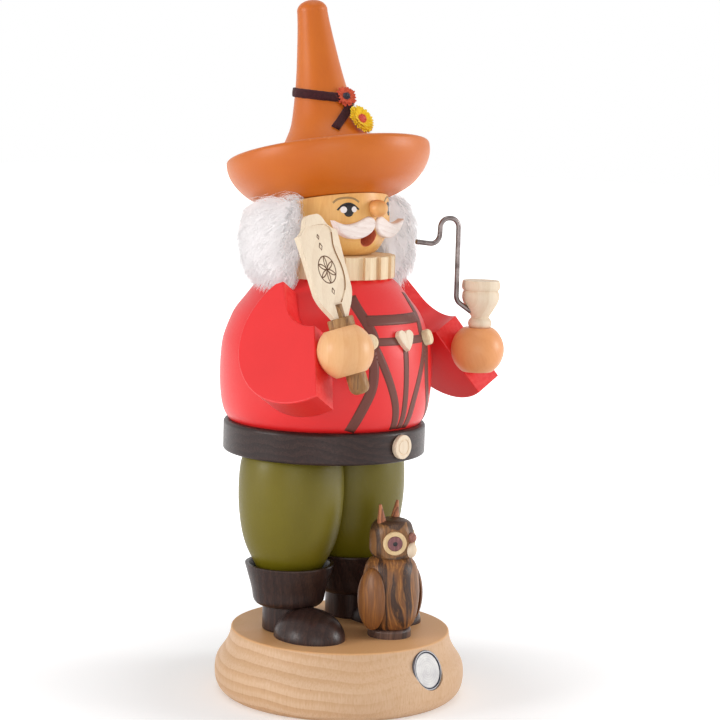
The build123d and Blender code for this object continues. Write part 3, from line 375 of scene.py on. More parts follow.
def face_finish():
    """The head's clear honey wood, and the bore's red-brown paint, made paler as painted light."""
    g = Graph("head_wood", Coat_Weight=0.2, Coat_Roughness=0.3, Specular_IOR_Level=0.3)
    rings, fibres, _ = timber(g, (30, 50, 0), (0, 0, 0), 3.6, 8.0)
    value = g.math("ADD", g.times(g.span(rings, 0.3, 1.0), 0.25),
                   g.times(g.span(fibres, 0.3, 0.7), 0.35), clamp=True)
    clear = g.ramp(value, *tones((236, 186, 112), (228, 172, 98), (206, 144, 76)))
    # The bore's axis runs through this point of the face, down and out along this line.
    start = Vector((-1.515, -10.665, 176.8))
    line = Vector((-0.0655, -0.9374, -0.342)).normalized()
    at = g.vector("SUBTRACT", g.place(), tuple(start))
    along = g.vector("DOT_PRODUCT", at, tuple(line), "Value")
    off = g.vector("LENGTH", g.vector("CROSS_PRODUCT", at, tuple(line)), out="Value")
    out = g.vector("LENGTH", g.place((0, -FIGURE_AXIS[1], 0), scale=(1, 1, 0)), out="Value")
    inside = g.times(g.span(off, 3.95, 3.85), g.span(out, 22.32, 22.22))
    inside = g.times(inside, g.span(along, 0.6, 0.3))
    # The bore's red-brown paint, made paler than it is: painted light that makes up for the shade
    # deep in the bore.
    lit_bore_paint = g.mix(g.span(fibres, 0.3, 0.7), rgb(232, 134, 98), rgb(206, 104, 74))
    colour = g.mix(inside, clear, lit_bore_paint)
    return g.finish(colour, g.span(fibres, 0.2, 0.8, 0.36, 0.48), fibres, 0.03)


head_wood = face_finish()

FINISHES = {
    "base": beech, "badge_disc": badge_metal, "belt": belt_stain, "buckle": maple,
    "incense_tray": tinplate, "tray_nail": wire, "body": red_paint, "head": head_wood,
    "nose": nose_wood, "collar": collar_wood, "hat": hat_paint, "heart": maple,
    "paddle_board": pale_maple, "paddle_handle": walnut, "pipe_bowl": maple, "pipe_stem": wire,
    "owl_beak": maple, "owl_cere": cere_wood, "owl_foot": foot_zebrano, "owl_head": head_zebrano,
    "right_hand": hand_wood, "left_hand": left_hand_wood,
}
ENDINGS = (("_owl_wing", wing_zebrano), ("_arm", red_paint), ("_leg", olive_paint),
           ("_boot", dark_stain), ("_toe", dark_stain), ("_moustache", white_wood),
           ("_brace_button", collar_wood), ("_owl_ear", ear_wood), ("_owl_eye", ring_wood),
           ("_owl_iris", purple_wood), ("dowel", dowel_wood))


def finish_for(name):
    """A node's material, by its name or by its name's ending."""
    if name in FINISHES:
        return FINISHES[name]
    for ending, mat in ENDINGS:
        if name.endswith(ending):
            return mat
    return zebrano if "owl" in name else fur_white


for name, o in nodes.items():
    o.data.materials.clear()
    o.data.materials.append(finish_for(name))
    for polygon in o.data.polygons:
        polygon.material_index = 0


# Pieces made from points, in millimetres
def piece(name, verts, faces, mat, body="figure", slot=None, smooth=True, replaces=()):
    """A visual piece that rides on a body, and stands for the CAD nodes that it replaces."""
    mesh = bpy.data.meshes.new(name)
    mesh.from_pydata([tuple(float(c) * MM for c in v) for v in verts], [],
                     [tuple(f) for f in faces])
    mesh.validate()
    mesh.update()
    o = new_object(name, mesh)
    mesh.materials.append(mat)
    if smooth:
        mesh.shade_smooth()
    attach(o, body)
    if replaces:
        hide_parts(*replaces)
    return o


def tree_of(name):
    mesh = nodes[name].data
    return BVHTree.FromPolygons([v.co for v in mesh.vertices],
                                [tuple(p.vertices) for p in mesh.polygons])


TREES = {name: tree_of(name) for name in ("body", "head", "hat")}


def cast(name, angle, height):
    """The point and normal on a turned node, at an angle from the front (mm and degrees)."""
    a = math.radians(angle)
    out = Vector((math.sin(a), -math.cos(a), 0))
    start = Vector((*FIGURE_AXIS, height)) * MM + out * 0.08
    hit, normal, _, _ = TREES[name].ray_cast(start, -out)
    if hit is None:
        raise ValueError(f"nothing of {name} at {angle} degrees and {height} mm")
    return hit / MM, normal if normal.dot(out) > 0 else -normal


def join(shells):
    """Several shells, each its points and faces, as one."""
    verts, faces = [], []
    for points, shell in shells:
        faces += [tuple(len(verts) + i for i in f) for f in shell]
        verts += points
    return verts, faces


def hoops(high, wide, closed=False):
    """The faces between rings of points, and from the last to the first where closed."""
    faces = []
    for i in range(high if closed else high - 1):
        k = (i + 1) % high
        for j in range(wide):
            m = (j + 1) % wide
            faces.append((i * wide + j, i * wide + m, k * wide + m, k * wide + j))
    return faces


def skin(rows, closed):
    """Rows of closed sections as a shell, with capped ends unless the rows close on themselves."""
    wide, high = len(rows[0]), len(rows)
    faces = hoops(high, wide, closed)
    if not closed:
        faces += [tuple(range(wide))[::-1], tuple((high - 1) * wide + j for j in range(wide))]
    return [p for row in rows for p in row], faces


def slab(rows):
    """Rows of (outer point, inner point) as a closed slab: its points and faces."""
    high, wide = len(rows), len(rows[0])
    verts = [p for row in rows for p, _ in row] + [q for row in rows for _, q in row]
    half = high * wide
    faces = []
    for i in range(high - 1):
        for j in range(wide - 1):
            a, b, c, d = i * wide + j, i * wide + j + 1, (i + 1) * wide + j + 1, (i + 1) * wide + j
            faces += [(a, b, c, d), (half + d, half + c, half + b, half + a)]
    rim = [(0, j) for j in range(wide)] + [(i, wide - 1) for i in range(1, high)]
    rim += [(high - 1, j) for j in range(wide - 2, -1, -1)]
    rim += [(i, 0) for i in range(high - 2, 0, -1)]
    for (i, j), (k, m) in zip(rim, rim[1:] + rim[:1]):
        a, b = i * wide + j, k * wide + m
        faces.append((b, a, half + a, half + b))
    return verts, faces


DEGREE_MM = 0.7  # about what a degree round a turned piece is worth


def smooth_line(points, step):
    """A Catmull-Rom line through (angle, height) points, in steps of about so many mm."""
    p = [np.array(q, float) for q in points]
    p = [2 * p[0] - p[1], *p, 2 * p[-1] - p[-2]]
    out = []
    for a, b, c, d in zip(p, p[1:], p[2:], p[3:]):
        n = max(2, int(np.linalg.norm((c - b) * [DEGREE_MM, 1]) / step))
        for t in np.arange(n) / n:
            out.append(0.5 * (2 * b + (c - a) * t + (2 * a - 5 * b + 4 * c - d) * t ** 2
                              + (3 * b - a - 3 * c + d) * t ** 3))
    return out + [p[-2]]


def painted_line(name, node, points, width, mat, lift=0.06, step=1.2):
    """A painted line along (angle, height) points on a turned node."""
    line = smooth_line(points, step)
    centre = [cast(node, *q) for q in line]
    rows = []
    for k, (at, normal) in enumerate(centre):
        before, after = centre[max(k - 1, 0)][0], centre[min(k + 1, len(centre) - 1)][0]
        side = normal.cross((after - before).normalized()).normalized()
        row = []
        for share in np.linspace(-0.5, 0.5, 5):
            q = at + side * float(share * width)
            angle = math.degrees(math.atan2(q.x - FIGURE_AXIS[0], FIGURE_AXIS[1] - q.y))
            hit, n = cast(node, angle, q.z)
            row.append((hit + n * lift, hit - n * lift))
        rows.append(row)
    return piece(name, *slab(rows), mat)


def painted_patch(name, node, upper, lower, mat, lift, columns):
    """A painted patch between an upper and a lower edge, both (angle, height) lines."""
    def at(line, share):
        line = [np.array(q, float) for q in smooth_line(line, 0.25)]
        steps = [np.linalg.norm(b - a) for a, b in zip(line, line[1:])]
        lengths = np.concatenate([[0], np.cumsum(steps)])
        s = share * lengths[-1]
        return np.array([np.interp(s, lengths, [q[k] for q in line]) for k in (0, 1)])

    grid = []
    for v in np.linspace(0, 1, 7):
        row = []
        for u in np.linspace(0, 1, columns):
            angle, height = at(upper, u) * (1 - v) + at(lower, u) * v
            hit, n = cast(node, angle, height)
            row.append((hit + n * lift, hit - n * lift))
        grid.append(row)
    return piece(name, *slab(grid), mat)


# Painted braces on the body
def both_sides(name, points, width):
    for side, label in ((-1, "right"), (1, "left")):
        painted_line(f"{label}_{name}", "body", [(side * a, z) for a, z in points], width,
                     brown_line)


both_sides("shoulder_strap", [(31.0, 155.6), (27.5, 151.0), (24.0, 146.6), (21.6, 143.0),
                              (20.0, 139.5)], 4.3)
both_sides("brace_side", [(24.5, 139.0), (22.3, 133.5), (21.6, 128.0), (23.0, 121.5),
                          (28.6, 112.9), (33.4, 105.9)], 4.2)
both_sides("brace_front", [(20.6, 137.5), (15.5, 130.0), (10.8, 122.5), (7.0, 115.0),
                           (4.8, 105.9)], 3.4)
for label, height, width in (("upper", 147.0, 4.2), ("lower", 139.3, 3.1)):
    painted_line(f"{label}_cross_strap", "body",
                 [(a, height) for a in (-23.5, -12.0, 0.0, 12.0, 23.5)], width, brown_line,
                 lift=0.075)
painted_line("middle_line", "body", [(0.0, z) for z in (139.0, 128.0, 117.0, 105.9)], 2.9,
             brown_line, lift=0.07)

# Painted eyes and brows on the head
OVAL = [(math.cos(math.radians(a)), math.sin(math.radians(a))) for a in range(0, 181, 30)]
for side, label in ((-1, "right"), (1, "left")):
    def on_face(points):
        return [(side * a, z) for a, z in points]

    painted_patch(f"{label}_iris", "head",
                  on_face([(37.6, 188.3), (34.6, 189.1), (30.0, 189.6), (25.4, 189.1),
                           (22.4, 188.4)]),
                  on_face([(34.0, 185.9), (32.6, 185.2), (29.6, 184.8), (26.6, 185.2),
                           (25.2, 186.0)]), black_line, lift=0.07, columns=17)
    for part, a, z, wide, high in (("outer", 34.6, 187.4, 3.3, 1.25),
                                   ("inner", 24.2, 187.6, 2.6, 1.1)):
        top = [(a + wide * c, z + high * s) for c, s in OVAL]
        low = [(a + wide * c, z - high * s) for c, s in OVAL]
        painted_patch(f"{label}_{part}_eye_white", "head", on_face(top), on_face(low), white_dot,
                      lift=0.12, columns=15)
    painted_line(f"{label}_lash", "head",
                 on_face([(40.6, 187.2), (36.0, 189.0), (30.0, 189.8), (24.5, 189.2),
                          (19.2, 187.5)]), 0.65, black_line, lift=0.11, step=0.5)
    painted_line(f"{label}_brow", "head",
                 on_face([(45.0, 189.9), (40.0, 191.3), (31.0, 191.9), (24.0, 191.5),
                          (18.7, 190.3)]), 0.75, grey_line, step=0.5)


# The suede band round the hat, in the hat's own frame
HAT = Matrix(((0.9996, 0.0, 0.0279, 1.0), (-0.0058, 0.9781, 0.2078, 10.3),
              (-0.0273, -0.2079, 0.9778, 189.2), (0, 0, 0, 1)))
HAT_BACK = HAT.inverted()
BAND_HEIGHT, BAND_TILT = 41.6, 17.0  # mm above the hat's foot, and degrees
# The strap's section, in widths across and thicknesses up
STRAP = ((-0.5, 0.1), (-0.5, 0.62), (-0.44, 0.88), (-0.25, 0.98), (0.0, 1.0), (0.25, 0.98),
         (0.44, 0.88), (0.5, 0.62), (0.5, 0.1))


def on_hat(angle, height):
    """A point and a normal on the hat's cone, at an angle round it and a height above its foot."""
    a = math.radians(angle)
    out = (HAT.to_3x3() @ Vector((math.sin(a), -math.cos(a), 0))).normalized()
    start = (HAT @ Vector((0, 0, height))) * MM + out * 0.030
    hit, normal, _, _ = TREES["hat"].ray_cast(start, -out)
    return hit / MM, normal if normal.dot(out) > 0 else -normal


def strip(path, width, thick):
    """Rows of a strap's closed section along a path of (angle, height) on the cone."""
    points = [on_hat(*q)[0] for q in path]
    rows = []
    for k, (angle, height) in enumerate(path):
        at, normal = on_hat(angle, height)
        ahead = (points[min(k + 1, len(points) - 1)] - points[max(k - 1, 0)]).normalized()
        side = normal.cross(ahead).normalized()
        row = []
        for across, up in STRAP:
            q = at + side * (across * width)
            local = HAT_BACK @ q
            turn = math.degrees(math.atan2(local.x, -local.y))
            hit, n = on_hat(turn, local.z)
            ripple = 0.12 * noise.noise(Vector((k * 0.31, across * 2.0, up * 3.0)))
            row.append(hit + n * (up * thick + (ripple if up > 0.2 else 0.0)) + side * ripple)
        rows.append(row)
    return rows


def band_height(angle):
    """The band's middle, level across the cone but lowest in front."""
    height = BAND_HEIGHT
    for _ in range(4):
        local = HAT_BACK @ on_hat(angle, height)[0]
        height = BAND_HEIGHT + local.y * math.tan(math.radians(BAND_TILT))
    return height


def front_of_hat(x, height):
    """The angle round the cone at which its front lies x to the figure's left of the axis."""
    angle = 0.0
    for _ in range(12):
        local = HAT_BACK @ on_hat(angle, height)[0]
        angle += math.degrees((x - local.x) / max(abs(local.y), 4.0)) * 0.8
    return angle


loop = strip([(a, band_height(a)) for a in np.arange(0, 360, 3.0)], width=3.5, thick=1.1)
tail_path = [(4.4 - 13.0 * share, 37.4 - 11.6 * share) for share in np.linspace(0, 1, 15)]
tail = strip([(front_of_hat(x, z), z) for x, z in tail_path], width=3.3, thick=1.0)
piece("suede_band", *join([skin(loop, True), skin(tail, False)]), suede, slot="suede",
      replaces=["hat_band"])


# Flowers of cut cloth
def petal(length, width, cup, curl):
    """A petal along +Y from the origin, as a closed thin shell of 7 by 5 points a side."""
    rows = []
    for i in range(7):
        t = i / 6
        half = width / 2 * math.sin(math.pi * min(0.98, 0.12 + 0.80 * t)) ** 0.7
        row = []
        for j in range(5):
            u = j / 2 - 1
            x, y = u * half, length * t
            z = cup * t ** 1.5 + curl * u * u
            row.append((Vector((x, y, z + 0.12)), Vector((x, y, z - 0.12))))
        rows.append(row)
    return slab(rows)


def daisy(name, origin, x_dir, y_dir, z_dir, layers, mat, replaces, slot):
    """Petals in layers of (count, reach, width, start radius, lift, cup, curl)."""
    frame_of = Matrix((tuple(x_dir), tuple(y_dir), tuple(z_dir))).transposed()
    shells = []
    for number, reach, width, start, lift, cup, curl in layers:
        for k in range(number):
            jitter = rng.uniform(-1, 1, 4)
            step = k + 0.5 * (number % 2) + 0.18 * jitter[0]
            turn = Matrix.Rotation(math.tau * step / number, 3, "Z")
            tip = Matrix.Rotation(0.12 * jitter[3], 3, "Y")
            points, shell = petal((reach - start) * (1 + 0.07 * jitter[1]), width,
                                  cup + 0.25 * jitter[2], curl)
            away = Vector((0, start, lift))
            shells.append(([Vector(origin) + frame_of @ (turn @ (tip @ p + away)) for p in points],
                           shell))
    return piece(name, *join(shells), mat, replaces=replaces, slot=slot)


def fuzz(name, origin, z_dir, radius, height, mat, replaces, slot, hairs, reach):
    """A button of pile: a low dome under short bristles."""
    z_dir = Vector(z_dir).normalized()
    x_dir = z_dir.orthogonal().normalized()
    y_dir = z_dir.cross(x_dir)
    origin = Vector(origin)

    def dome(a, t, wide, high):
        """From the middle to a dome of that half width and height, at two angles."""
        flat = wide * math.cos(t)
        return (x_dir * (flat * math.cos(a)) + y_dir * (flat * math.sin(a))
                + z_dir * (high * math.sin(t)))

    rings, around = 6, 18
    verts = [origin + dome(math.tau * j / around, i / rings * math.pi / 2, radius, height)
             for i in range(rings) for j in range(around)]
    verts += [origin + z_dir * height, origin - z_dir * 0.2]
    top, foot, rim = rings * around, rings * around + 1, (rings - 1) * around
    faces = hoops(rings, around)
    for j in range(around):
        k = (j + 1) % around
        faces += [(rim + j, rim + k, top), (k, j, foot)]
    for _ in range(hairs):
        a, t = rng.uniform(0, math.tau), math.pi / 2 - math.asin(math.sqrt(rng.uniform(0, 1)))
        out, at = dome(a, t, 1, 1), origin + dome(a, t, radius, height)
        side = out.orthogonal().normalized()
        other = out.cross(side)
        n = len(verts)
        verts += [at + side * 0.11 - out * 0.1, at - side * 0.055 + other * 0.095 - out * 0.1,
                  at - side * 0.055 - other * 0.095 - out * 0.1,
                  at + out * reach * rng.uniform(0.6, 1.2) + Vector(rng.uniform(-0.12, 0.12, 3))]
        faces += [(n, n + 1, n + 3), (n + 1, n + 2, n + 3), (n + 2, n, n + 3), (n + 2, n + 1, n)]
    return piece(name, verts, faces, mat, replaces=replaces, slot=slot, smooth=False)


# Each flower's place and its own X, Y and Z
ORANGE = ((1.855, 6.042, 229.421), (0.9012, -0.4048, 0.1547), (0.0311, 0.4164, 0.9087),
          (-0.4323, -0.8141, 0.3878))
YELLOW = ((4.95, 0.9, 220.9), (0.9986, -0.0523, 0.0), (0.0267, 0.5102, 0.8597),
          (-0.045, -0.8585, 0.5108))
daisy("orange_daisy", *ORANGE,
      [(19, 4.1, 1.3, 0.6, 0.15, 0.35, 0.08), (17, 3.4, 1.1, 0.5, 0.55, 0.5, 0.08)],
      orange_cloth, ["orange_flower"], "orange_felt")
fuzz("orange_daisy_heart", Vector(ORANGE[0]) + Vector(ORANGE[3]) * 0.75, ORANGE[3], 1.45, 0.8,
     dark_fuzz, ["orange_flower_button"], "flower_heart", hairs=120, reach=0.35)
daisy("yellow_daisy", *YELLOW,
      [(30, 5.7, 1.35, 0.9, 0.1, 0.6, 0.05), (28, 5.1, 1.25, 0.8, 0.3, 1.0, 0.05),
       (24, 4.2, 1.15, 0.7, 0.5, 1.2, 0.05)], yellow_cloth, ["yellow_flower"], "yellow_felt")
fuzz("yellow_daisy_heart", Vector(YELLOW[0]) + Vector(YELLOW[3]) * 0.9, YELLOW[3], 1.75, 1.0,
     pink_fuzz, ["yellow_flower_button"], "pink_heart", hairs=190, reach=0.5)


def tuft(name, angle, height, reach, mat):
    """A few stiff dried bits standing out from under a flower."""
    at, normal = on_hat(angle, height)
    fuzz(name, at + normal * 0.2, normal, 0.8, 0.5, mat, [], "yellow_felt", hairs=34, reach=reach)


tuft("upper_tuft", 17.0, 36.6, 1.9, cream_bits)
tuft("lower_tuft", 26.0, 25.4, 2.4, cream_bits)


# The fur: an undercoat in the CAD form, and tapered hairs that flow back and down from the face
CLUMPS, HAIRS_EACH = 2300, 11
SEGMENTS = 4  # of each hair
TAPER = np.array([1.0, 0.95, 0.8, 0.55, 0.12])  # a hair's thickness from root to tip
COAT_VOXEL, COAT_DEPTH, COAT_RIPPLE = 1.1, 2.1, 0.4  # mm
FUR_FOOT, FUR_HEIGHT = 158, 35  # mm
SIDE_RADIUS, UNDER_RADIUS = 23.9, 27.5  # mm, beyond which the sides and the underside bear hairs
DOWN = np.array([0, 0, -1.0])


def unit(vectors):
    return vectors / np.linalg.norm(vectors, axis=-1, keepdims=True)


def drawn_in(points):
    """How far the fur lies within the CAD form: more at the figure's right and back."""
    reach = -VIEW_RIGHT[0] * points[:, 0] - VIEW_RIGHT[1] * (points[:, 1] - FIGURE_AXIS[1])
    return 3.0 * np.clip((reach - 22.0) / 10.0, 0, 1)


def undercoat(source):
    """The CAD form as one mesh of even faces, moved inwards with a ripple."""
    coat = new_object("fur_coat", source.data.copy())
    coat.data.materials.clear()
    coat.data.materials.append(fur_under)
    remesh = coat.modifiers.new("remesh", "REMESH")
    remesh.mode, remesh.voxel_size, remesh.use_smooth_shade = "VOXEL", COAT_VOXEL * MM, True
    bpy.context.view_layer.update()
    made = coat.evaluated_get(bpy.context.evaluated_depsgraph_get())
    mesh = bpy.data.meshes.new_from_object(made)
    coat.modifiers.clear()
    coat.data = mesh
    co = np.array([v.co for v in mesh.vertices])
    normal = np.array([v.normal for v in mesh.vertices])
    ripple = np.array([noise.noise(Vector((x * 260, y * 260, z * 90))) for x, y, z in co])
    co += normal * ((-COAT_DEPTH - drawn_in(co / MM) + COAT_RIPPLE * ripple) * MM)[:, None]
    mesh.vertices.foreach_set("co", co.astype(np.float32).ravel())
    mesh.update()
    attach(coat, "figure")
    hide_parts("hair")


def clump_roots(source):
    """A point and a normal for each clump, spread evenly over the sides of the form that show."""
    source.data.calc_loop_triangles()
    points = np.array([v.co for v in source.data.vertices]) / MM
    tris = np.array([t.vertices for t in source.data.loop_triangles])
    a, b, c = (points[tris[:, k]] for k in range(3))
    cross = np.cross(b - a, c - a)
    area = np.linalg.norm(cross, axis=1) / 2
    n = cross / np.maximum(2 * area[:, None], 1e-9)
    radial = ((a + b + c) / 3)[:, :2] - np.array(FIGURE_AXIS)
    distance = np.linalg.norm(radial, axis=1)
    outward = (n[:, :2] * radial).sum(1) / np.maximum(distance, 1e-6)
    around = (outward > -0.2) & (distance > SIDE_RADIUS)
    under = (n[:, 2] < -0.4) & (distance > UNDER_RADIUS)
    weight = area * (around | under)
    pick = rng.choice(len(tris), CLUMPS, p=weight / weight.sum())
    u, v = rng.uniform(0, 1, (2, CLUMPS))
    flip = u + v > 1
    u[flip], v[flip] = 1 - u[flip], 1 - v[flip]
    return a[pick] + (b - a)[pick] * u[:, None] + (c - a)[pick] * v[:, None], n[pick]


def hair_flow(root, height, clump_dir):
    """The way that each hair lies: away from the face, down and out, with its clump's own lean."""
    count = len(root)
    radial = root[:, :2] - np.array(FIGURE_AXIS)
    phi = np.arctan2(radial[:, 0], -radial[:, 1])
    away = np.stack([np.cos(phi), np.sin(phi), np.zeros(count)], 1) * np.sign(phi)[:, None]
    away *= np.clip((math.radians(165) - np.abs(phi)) / math.radians(60), 0, 1)[:, None]
    out = np.stack([np.sin(phi), -np.cos(phi), np.zeros(count)], 1)
    flow = away * 0.55 + DOWN * (0.55 + 0.5 * (1 - height))[:, None]
    flow += out * (0.30 + 0.25 * height)[:, None]
    return unit(flow + (clump_dir * 0.09 + rng.normal(0, 0.16, (count, 3))))


def hair_lines(root, norm, clump_dir):
    """The stations of each hair, which leaves the coat upright and lies down by its clump."""
    height = (root[:, 2] - FUR_FOOT) / FUR_HEIGHT
    flow = hair_flow(root, height, clump_dir)
    length = rng.uniform(6.5, 11.0, len(root)) * (0.75 + 0.35 * np.clip(height, 0, 1))
    stations = [root]
    for k in range(SEGMENTS):
        t = k / (SEGMENTS - 1)
        step = norm * (0.95 * (1 - t) ** 1.3) + flow * (0.35 + 0.65 * t) + DOWN * 0.18 * t
        step = unit(step + clump_dir * 0.07 * t)
        stations.append(stations[-1] + step * (length / SEGMENTS)[:, None])
    line = np.stack(stations, 1)
    tips = line[:, -1].reshape(CLUMPS, HAIRS_EACH, 3).mean(1)
    pull = np.repeat(tips, HAIRS_EACH, 0) - line[:, -1]
    for k in range(SEGMENTS + 1):
        line[:, k] += pull * (0.15 * (k / SEGMENTS) ** 2)
    return line


def hair_mesh(line):
    """The hairs along those lines, as tapered tubes of three sides."""
    count = len(line)
    radius = (rng.uniform(0.045, 0.085, count)[:, None] * TAPER)[:, :, None]
    ahead = unit(np.gradient(line, axis=1))
    side = unit(np.cross(ahead, np.array([0.31, 0.22, 0.93])))
    other = np.cross(ahead, side)
    rings = [line + radius * (math.cos(a) * side + math.sin(a) * other)
             for a in (0, math.tau / 3, 2 * math.tau / 3)]
    verts = np.stack(rings, 2).reshape(-1, 3)
    base = (np.arange(count) * (SEGMENTS + 1) * 3)[:, None]
    quads = [base + np.array([k + j, k + m, k + 3 + m, k + 3 + j])
             for k in range(0, SEGMENTS * 3, 3) for j, m in ((0, 1), (1, 2), (2, 0))]
    last = SEGMENTS * 3
    ends = [base + np.array([2, 1, 0]), base + np.array([last, last + 1, last + 2])]
    mesh = bpy.data.meshes.new("fur_hairs")
    mesh.from_pydata((verts * MM).tolist(), [],
                     np.concatenate(quads).tolist() + np.concatenate(ends).tolist())
    mesh.update()
    mesh.materials.append(fur_white)
    mesh.shade_smooth()
    return mesh


def fur():
    source = nodes["hair"]
    undercoat(source)
    root, norm = (np.repeat(rows, HAIRS_EACH, 0) for rows in clump_roots(source))
    clump_dir = np.repeat(rng.normal(0, 1, (CLUMPS, 3)), HAIRS_EACH, 0)
    spread = rng.normal(0, 1, (len(root), 3))
    spread -= norm * (spread * norm).sum(1)[:, None]
    depth = rng.uniform(1.8, 3.0, len(root)) + drawn_in(root)
    mesh = hair_mesh(hair_lines(root + spread - norm * depth[:, None], norm, clump_dir))
    # Each hair is shaded as the coat under it, so that the fur is as soft as it looks.
    soft = np.repeat(norm, (SEGMENTS + 1) * 3, 0)
    mesh.normals_split_custom_set_from_vertices(soft.tolist())
    hairs = new_object("fur_hairs", mesh)
    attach(hairs, "figure")
    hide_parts("hair")


fur()


# A burnt ornament on the paddle's panel, in the paddle's own frame
PADDLE = Matrix(((0.9877, -0.0995, -0.1202, -37.377), (0.1311, 0.9469, 0.2935, -34.181),
                 (0.0846, -0.3057, 0.9484, 138.708), (0, 0, 0, 1)))
PANEL = -0.5  # the sunk panel's face, in front of the board's middle
BURNT_WIDTH = 0.42


def burnt(name, lines):
    """Burnt lines on the panel from lists of (across, up) points."""
    shells = []
    for points in lines:
        points = [Vector((x, z)) for x, z in points]
        rows = []
        for k, p in enumerate(points):
            ahead = (points[min(k + 1, len(points) - 1)] - points[max(k - 1, 0)]).normalized()
            side = Vector((-ahead.y, ahead.x)) * BURNT_WIDTH / 2
            rows.append([[PADDLE @ Vector((q.x, PANEL + deep, q.y)) for deep in (-0.05, 0.1)]
                         for q in (p - side, p + side)])
        shells.append(slab(rows))
    return piece(name, *join(shells), burnt_line, slot="maple")


def arc(x, z, r, start, stop, n):
    angles = [math.radians(start + (stop - start) * k / n) for k in range(n + 1)]
    return [(x + r * math.cos(a), z + r * math.sin(a)) for a in angles]


def diamond(x, z, w, h):
    return [(x, z + h), (x + w, z), (x, z - h), (x - w, z), (x, z + h), (x + w / 2, z + h / 2)]


radius, middle = 5.0, 30.0
rosette = [arc(0, middle, radius, 0, 360, 40)]
for k in range(6):
    turn = 60 * k + 30
    x, z = radius * math.cos(math.radians(turn)), middle + radius * math.sin(math.radians(turn))
    rosette.append(arc(x, z, radius, turn + 120, turn + 240, 16))
rosette += [diamond(0, 38.6, 0.9, 1.3), diamond(0, 42.2, 0.6, 0.9), diamond(0, 22.0, 0.8, 1.2)]
burnt("paddle_rosette", rosette)


# The wall round the sunk panel, coloured brown: painted shade in the panel's step
def panel_reach(height):
    """How far the painted shade on the panel's wall goes to each side, at a height on the paddle.
    """
    return 5.0 if height >= 43.0 else min(9.3, 3.8 + max(0.0, height - 18.5))


board = nodes["paddle_board"]
board.data.materials.append(panel_wall_shade)
back = PADDLE.inverted()
for polygon in board.data.polygons:
    at = back @ (Vector(polygon.center) / MM)
    facing = back.to_3x3() @ Vector(polygon.normal)
    wall = abs(facing.y) < 0.5 and -1.05 < at.y < -0.4
    if wall and abs(at.x) < panel_reach(at.z) and 16.0 < at.z < 48.0:
        polygon.material_index = 1


# The owl's pupils
def pupil(name, origin, out):
    """A low black button with a bevelled edge."""
    across = Vector((-out.y, out.x, 0))
    around = [across * math.cos(a) + Vector((0, 0, math.sin(a)))
              for a in np.arange(24) * (math.tau / 24)]
    rows = [[origin + d * r + out * h for d in around]
            for r, h in ((0.85, -0.2), (0.85, 0.072), (0.7225, 0.12))]
    return piece(name, *skin(rows, False), black_line, body="stand")


# Each eye's middle, and the way that it looks
for label, origin, out in (("right", (-0.681, -27.247, 62.1), (-0.6494, -0.7604, 0.0)),
                           ("left", (9.745, -25.502, 62.1), (0.8616, -0.5075, 0.0))):
    out = Vector(out)
    pupil(f"{label}_owl_pupil", Vector(origin) + out * 1.55, out)


# Floor, light and camera
def seen_rays(tree):
    """1 for the rays that see the background: the camera's, reflected or gone through glass."""
    path = tree.nodes.new("ShaderNodeLightPath")
    value = path.outputs["Is Camera Ray"]
    for name in ("Is Glossy Ray", "Is Transmission Ray"):
        n = tree.nodes.new("ShaderNodeMath")
        n.operation = "MAXIMUM"
        tree.links.new(value, n.inputs[0])
        tree.links.new(path.outputs[name], n.inputs[1])
        value = n.outputs[0]
    return value


def stage_material():
    """A white floor that keeps a soft shadow near the object, and is plain white further out."""
    shade_ends, white_starts = 70.0, 330.0  # mm from the middle
    g = Graph("floor", Specular_IOR_Level=0.1)
    cloud = g.noise(g.place(), 0.004, 2.0)
    colour = g.mix(cloud, (0.90, 0.90, 0.90, 1), (0.92, 0.92, 0.92, 1))
    g.finish(colour, g.span(cloud, 0, 1, 0.85, 0.95))
    far = g.vector("LENGTH", g.place(scale=(1, 1, 0)), out="Value")
    glow = g.times(g.span(far, shade_ends, white_starts, 0.22, 1.0), seen_rays(g.tree))
    g.shader.inputs["Emission Color"].default_value = (1, 1, 1, 1)
    g.tree.links.new(glow, g.shader.inputs["Emission Strength"])
    return g.mat


floor_mesh = bpy.data.meshes.new("floor")
floor_mesh.from_pydata([(-6, -6, 0), (6, -6, 0), (6, 6, 0), (-6, 6, 0)], [], [(0, 1, 2, 3)])
floor_mesh.materials.append(stage_material())
floor = new_object("floor", floor_mesh)

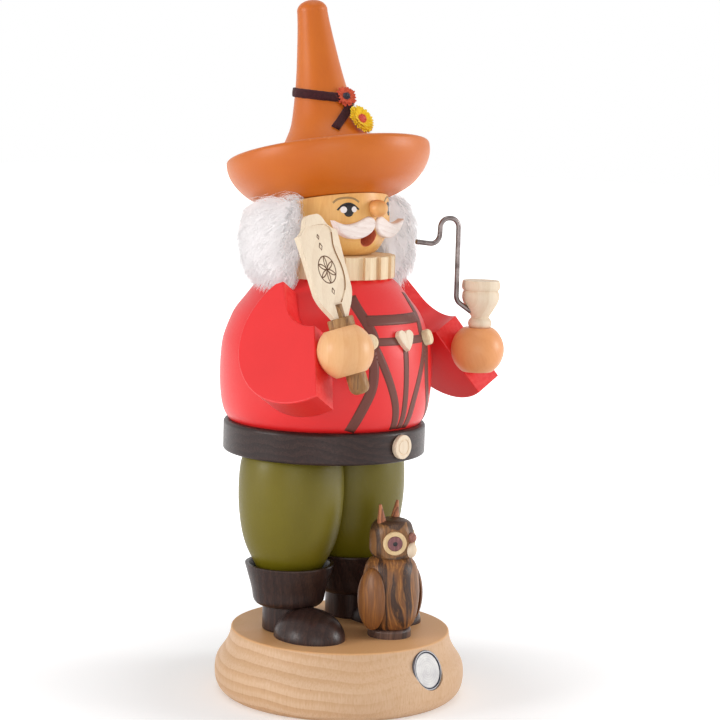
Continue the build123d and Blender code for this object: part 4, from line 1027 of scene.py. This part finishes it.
scene = bpy.context.scene
scene.view_settings.view_transform = "Standard"
world = bpy.data.worlds.new("studio")
scene.world = world
world.use_nodes = True
tree = world.node_tree
background = tree.nodes["Background"]
background.inputs["Color"].default_value = (1, 1, 1, 1)
strength = tree.nodes.new("ShaderNodeMapRange")
light_strength, seen_strength = 0.43, 1.0
strength.inputs["To Min"].default_value = light_strength
strength.inputs["To Max"].default_value = seen_strength
tree.links.new(seen_rays(tree), strength.inputs["Value"])
tree.links.new(strength.outputs["Result"], background.inputs["Strength"])

toward = Vector((math.sin(VIEW), -math.cos(VIEW), 0))
right = Vector((math.cos(VIEW), math.sin(VIEW), 0))
AIM_HEIGHT = 0.13  # of the object's middle, which the lamps look at


def softbox(name, side, front, height, size, radiance):
    """A soft square lamp, placed beside and in front of the object as the camera sees it."""
    lamp = bpy.data.lights.new(name, "AREA")
    lamp.shape, lamp.size, lamp.energy = "SQUARE", size, radiance * math.pi * size ** 2
    o = new_object(name, lamp)
    o.location = right * side + toward * front + Vector((0, 0, height))
    o.rotation_mode = "QUATERNION"
    o.rotation_quaternion = (o.location - Vector((0, 0, AIM_HEIGHT))).to_track_quat("Z", "Y")


# Side, front, height and size in metres, and the radiance
softbox("left_box", -1.25, 0.58, 0.42, 0.5, 11.0)
softbox("right_box", 1.3, -0.05, 0.42, 0.5, 10.0)
softbox("front_box", 0.1, 1.5, 0.2, 0.9, 2.3)
softbox("top_box", 0.0, 0.1, 1.5, 0.8, 1.4)

# The camera as the photograph was taken: its angles, and its place towards, beside and above (m)
pitch, roll = math.radians(6.75), math.radians(1.6)
camera_out, camera_side, camera_height = 0.7795, 0.0049, 0.22165
camera = bpy.data.cameras.new("camera")
camera.sensor_width, camera.lens = 36.0, 102.3
eye = new_object("camera", camera)
ahead = -toward * math.cos(pitch) - Vector((0, 0, math.sin(pitch)))
up = right.cross(ahead)
cam_x = right * math.cos(roll) + up * math.sin(roll)
cam_y = up * math.cos(roll) - right * math.sin(roll)
place = Matrix((cam_x, cam_y, -ahead)).transposed().to_4x4()
place.translation = toward * camera_out + right * camera_side + Vector((0, 0, camera_height))
eye.matrix_world = place
camera.clip_start, camera.clip_end = 0.01, 50.0
scene.camera = eye

bpy.context.view_layer.update()
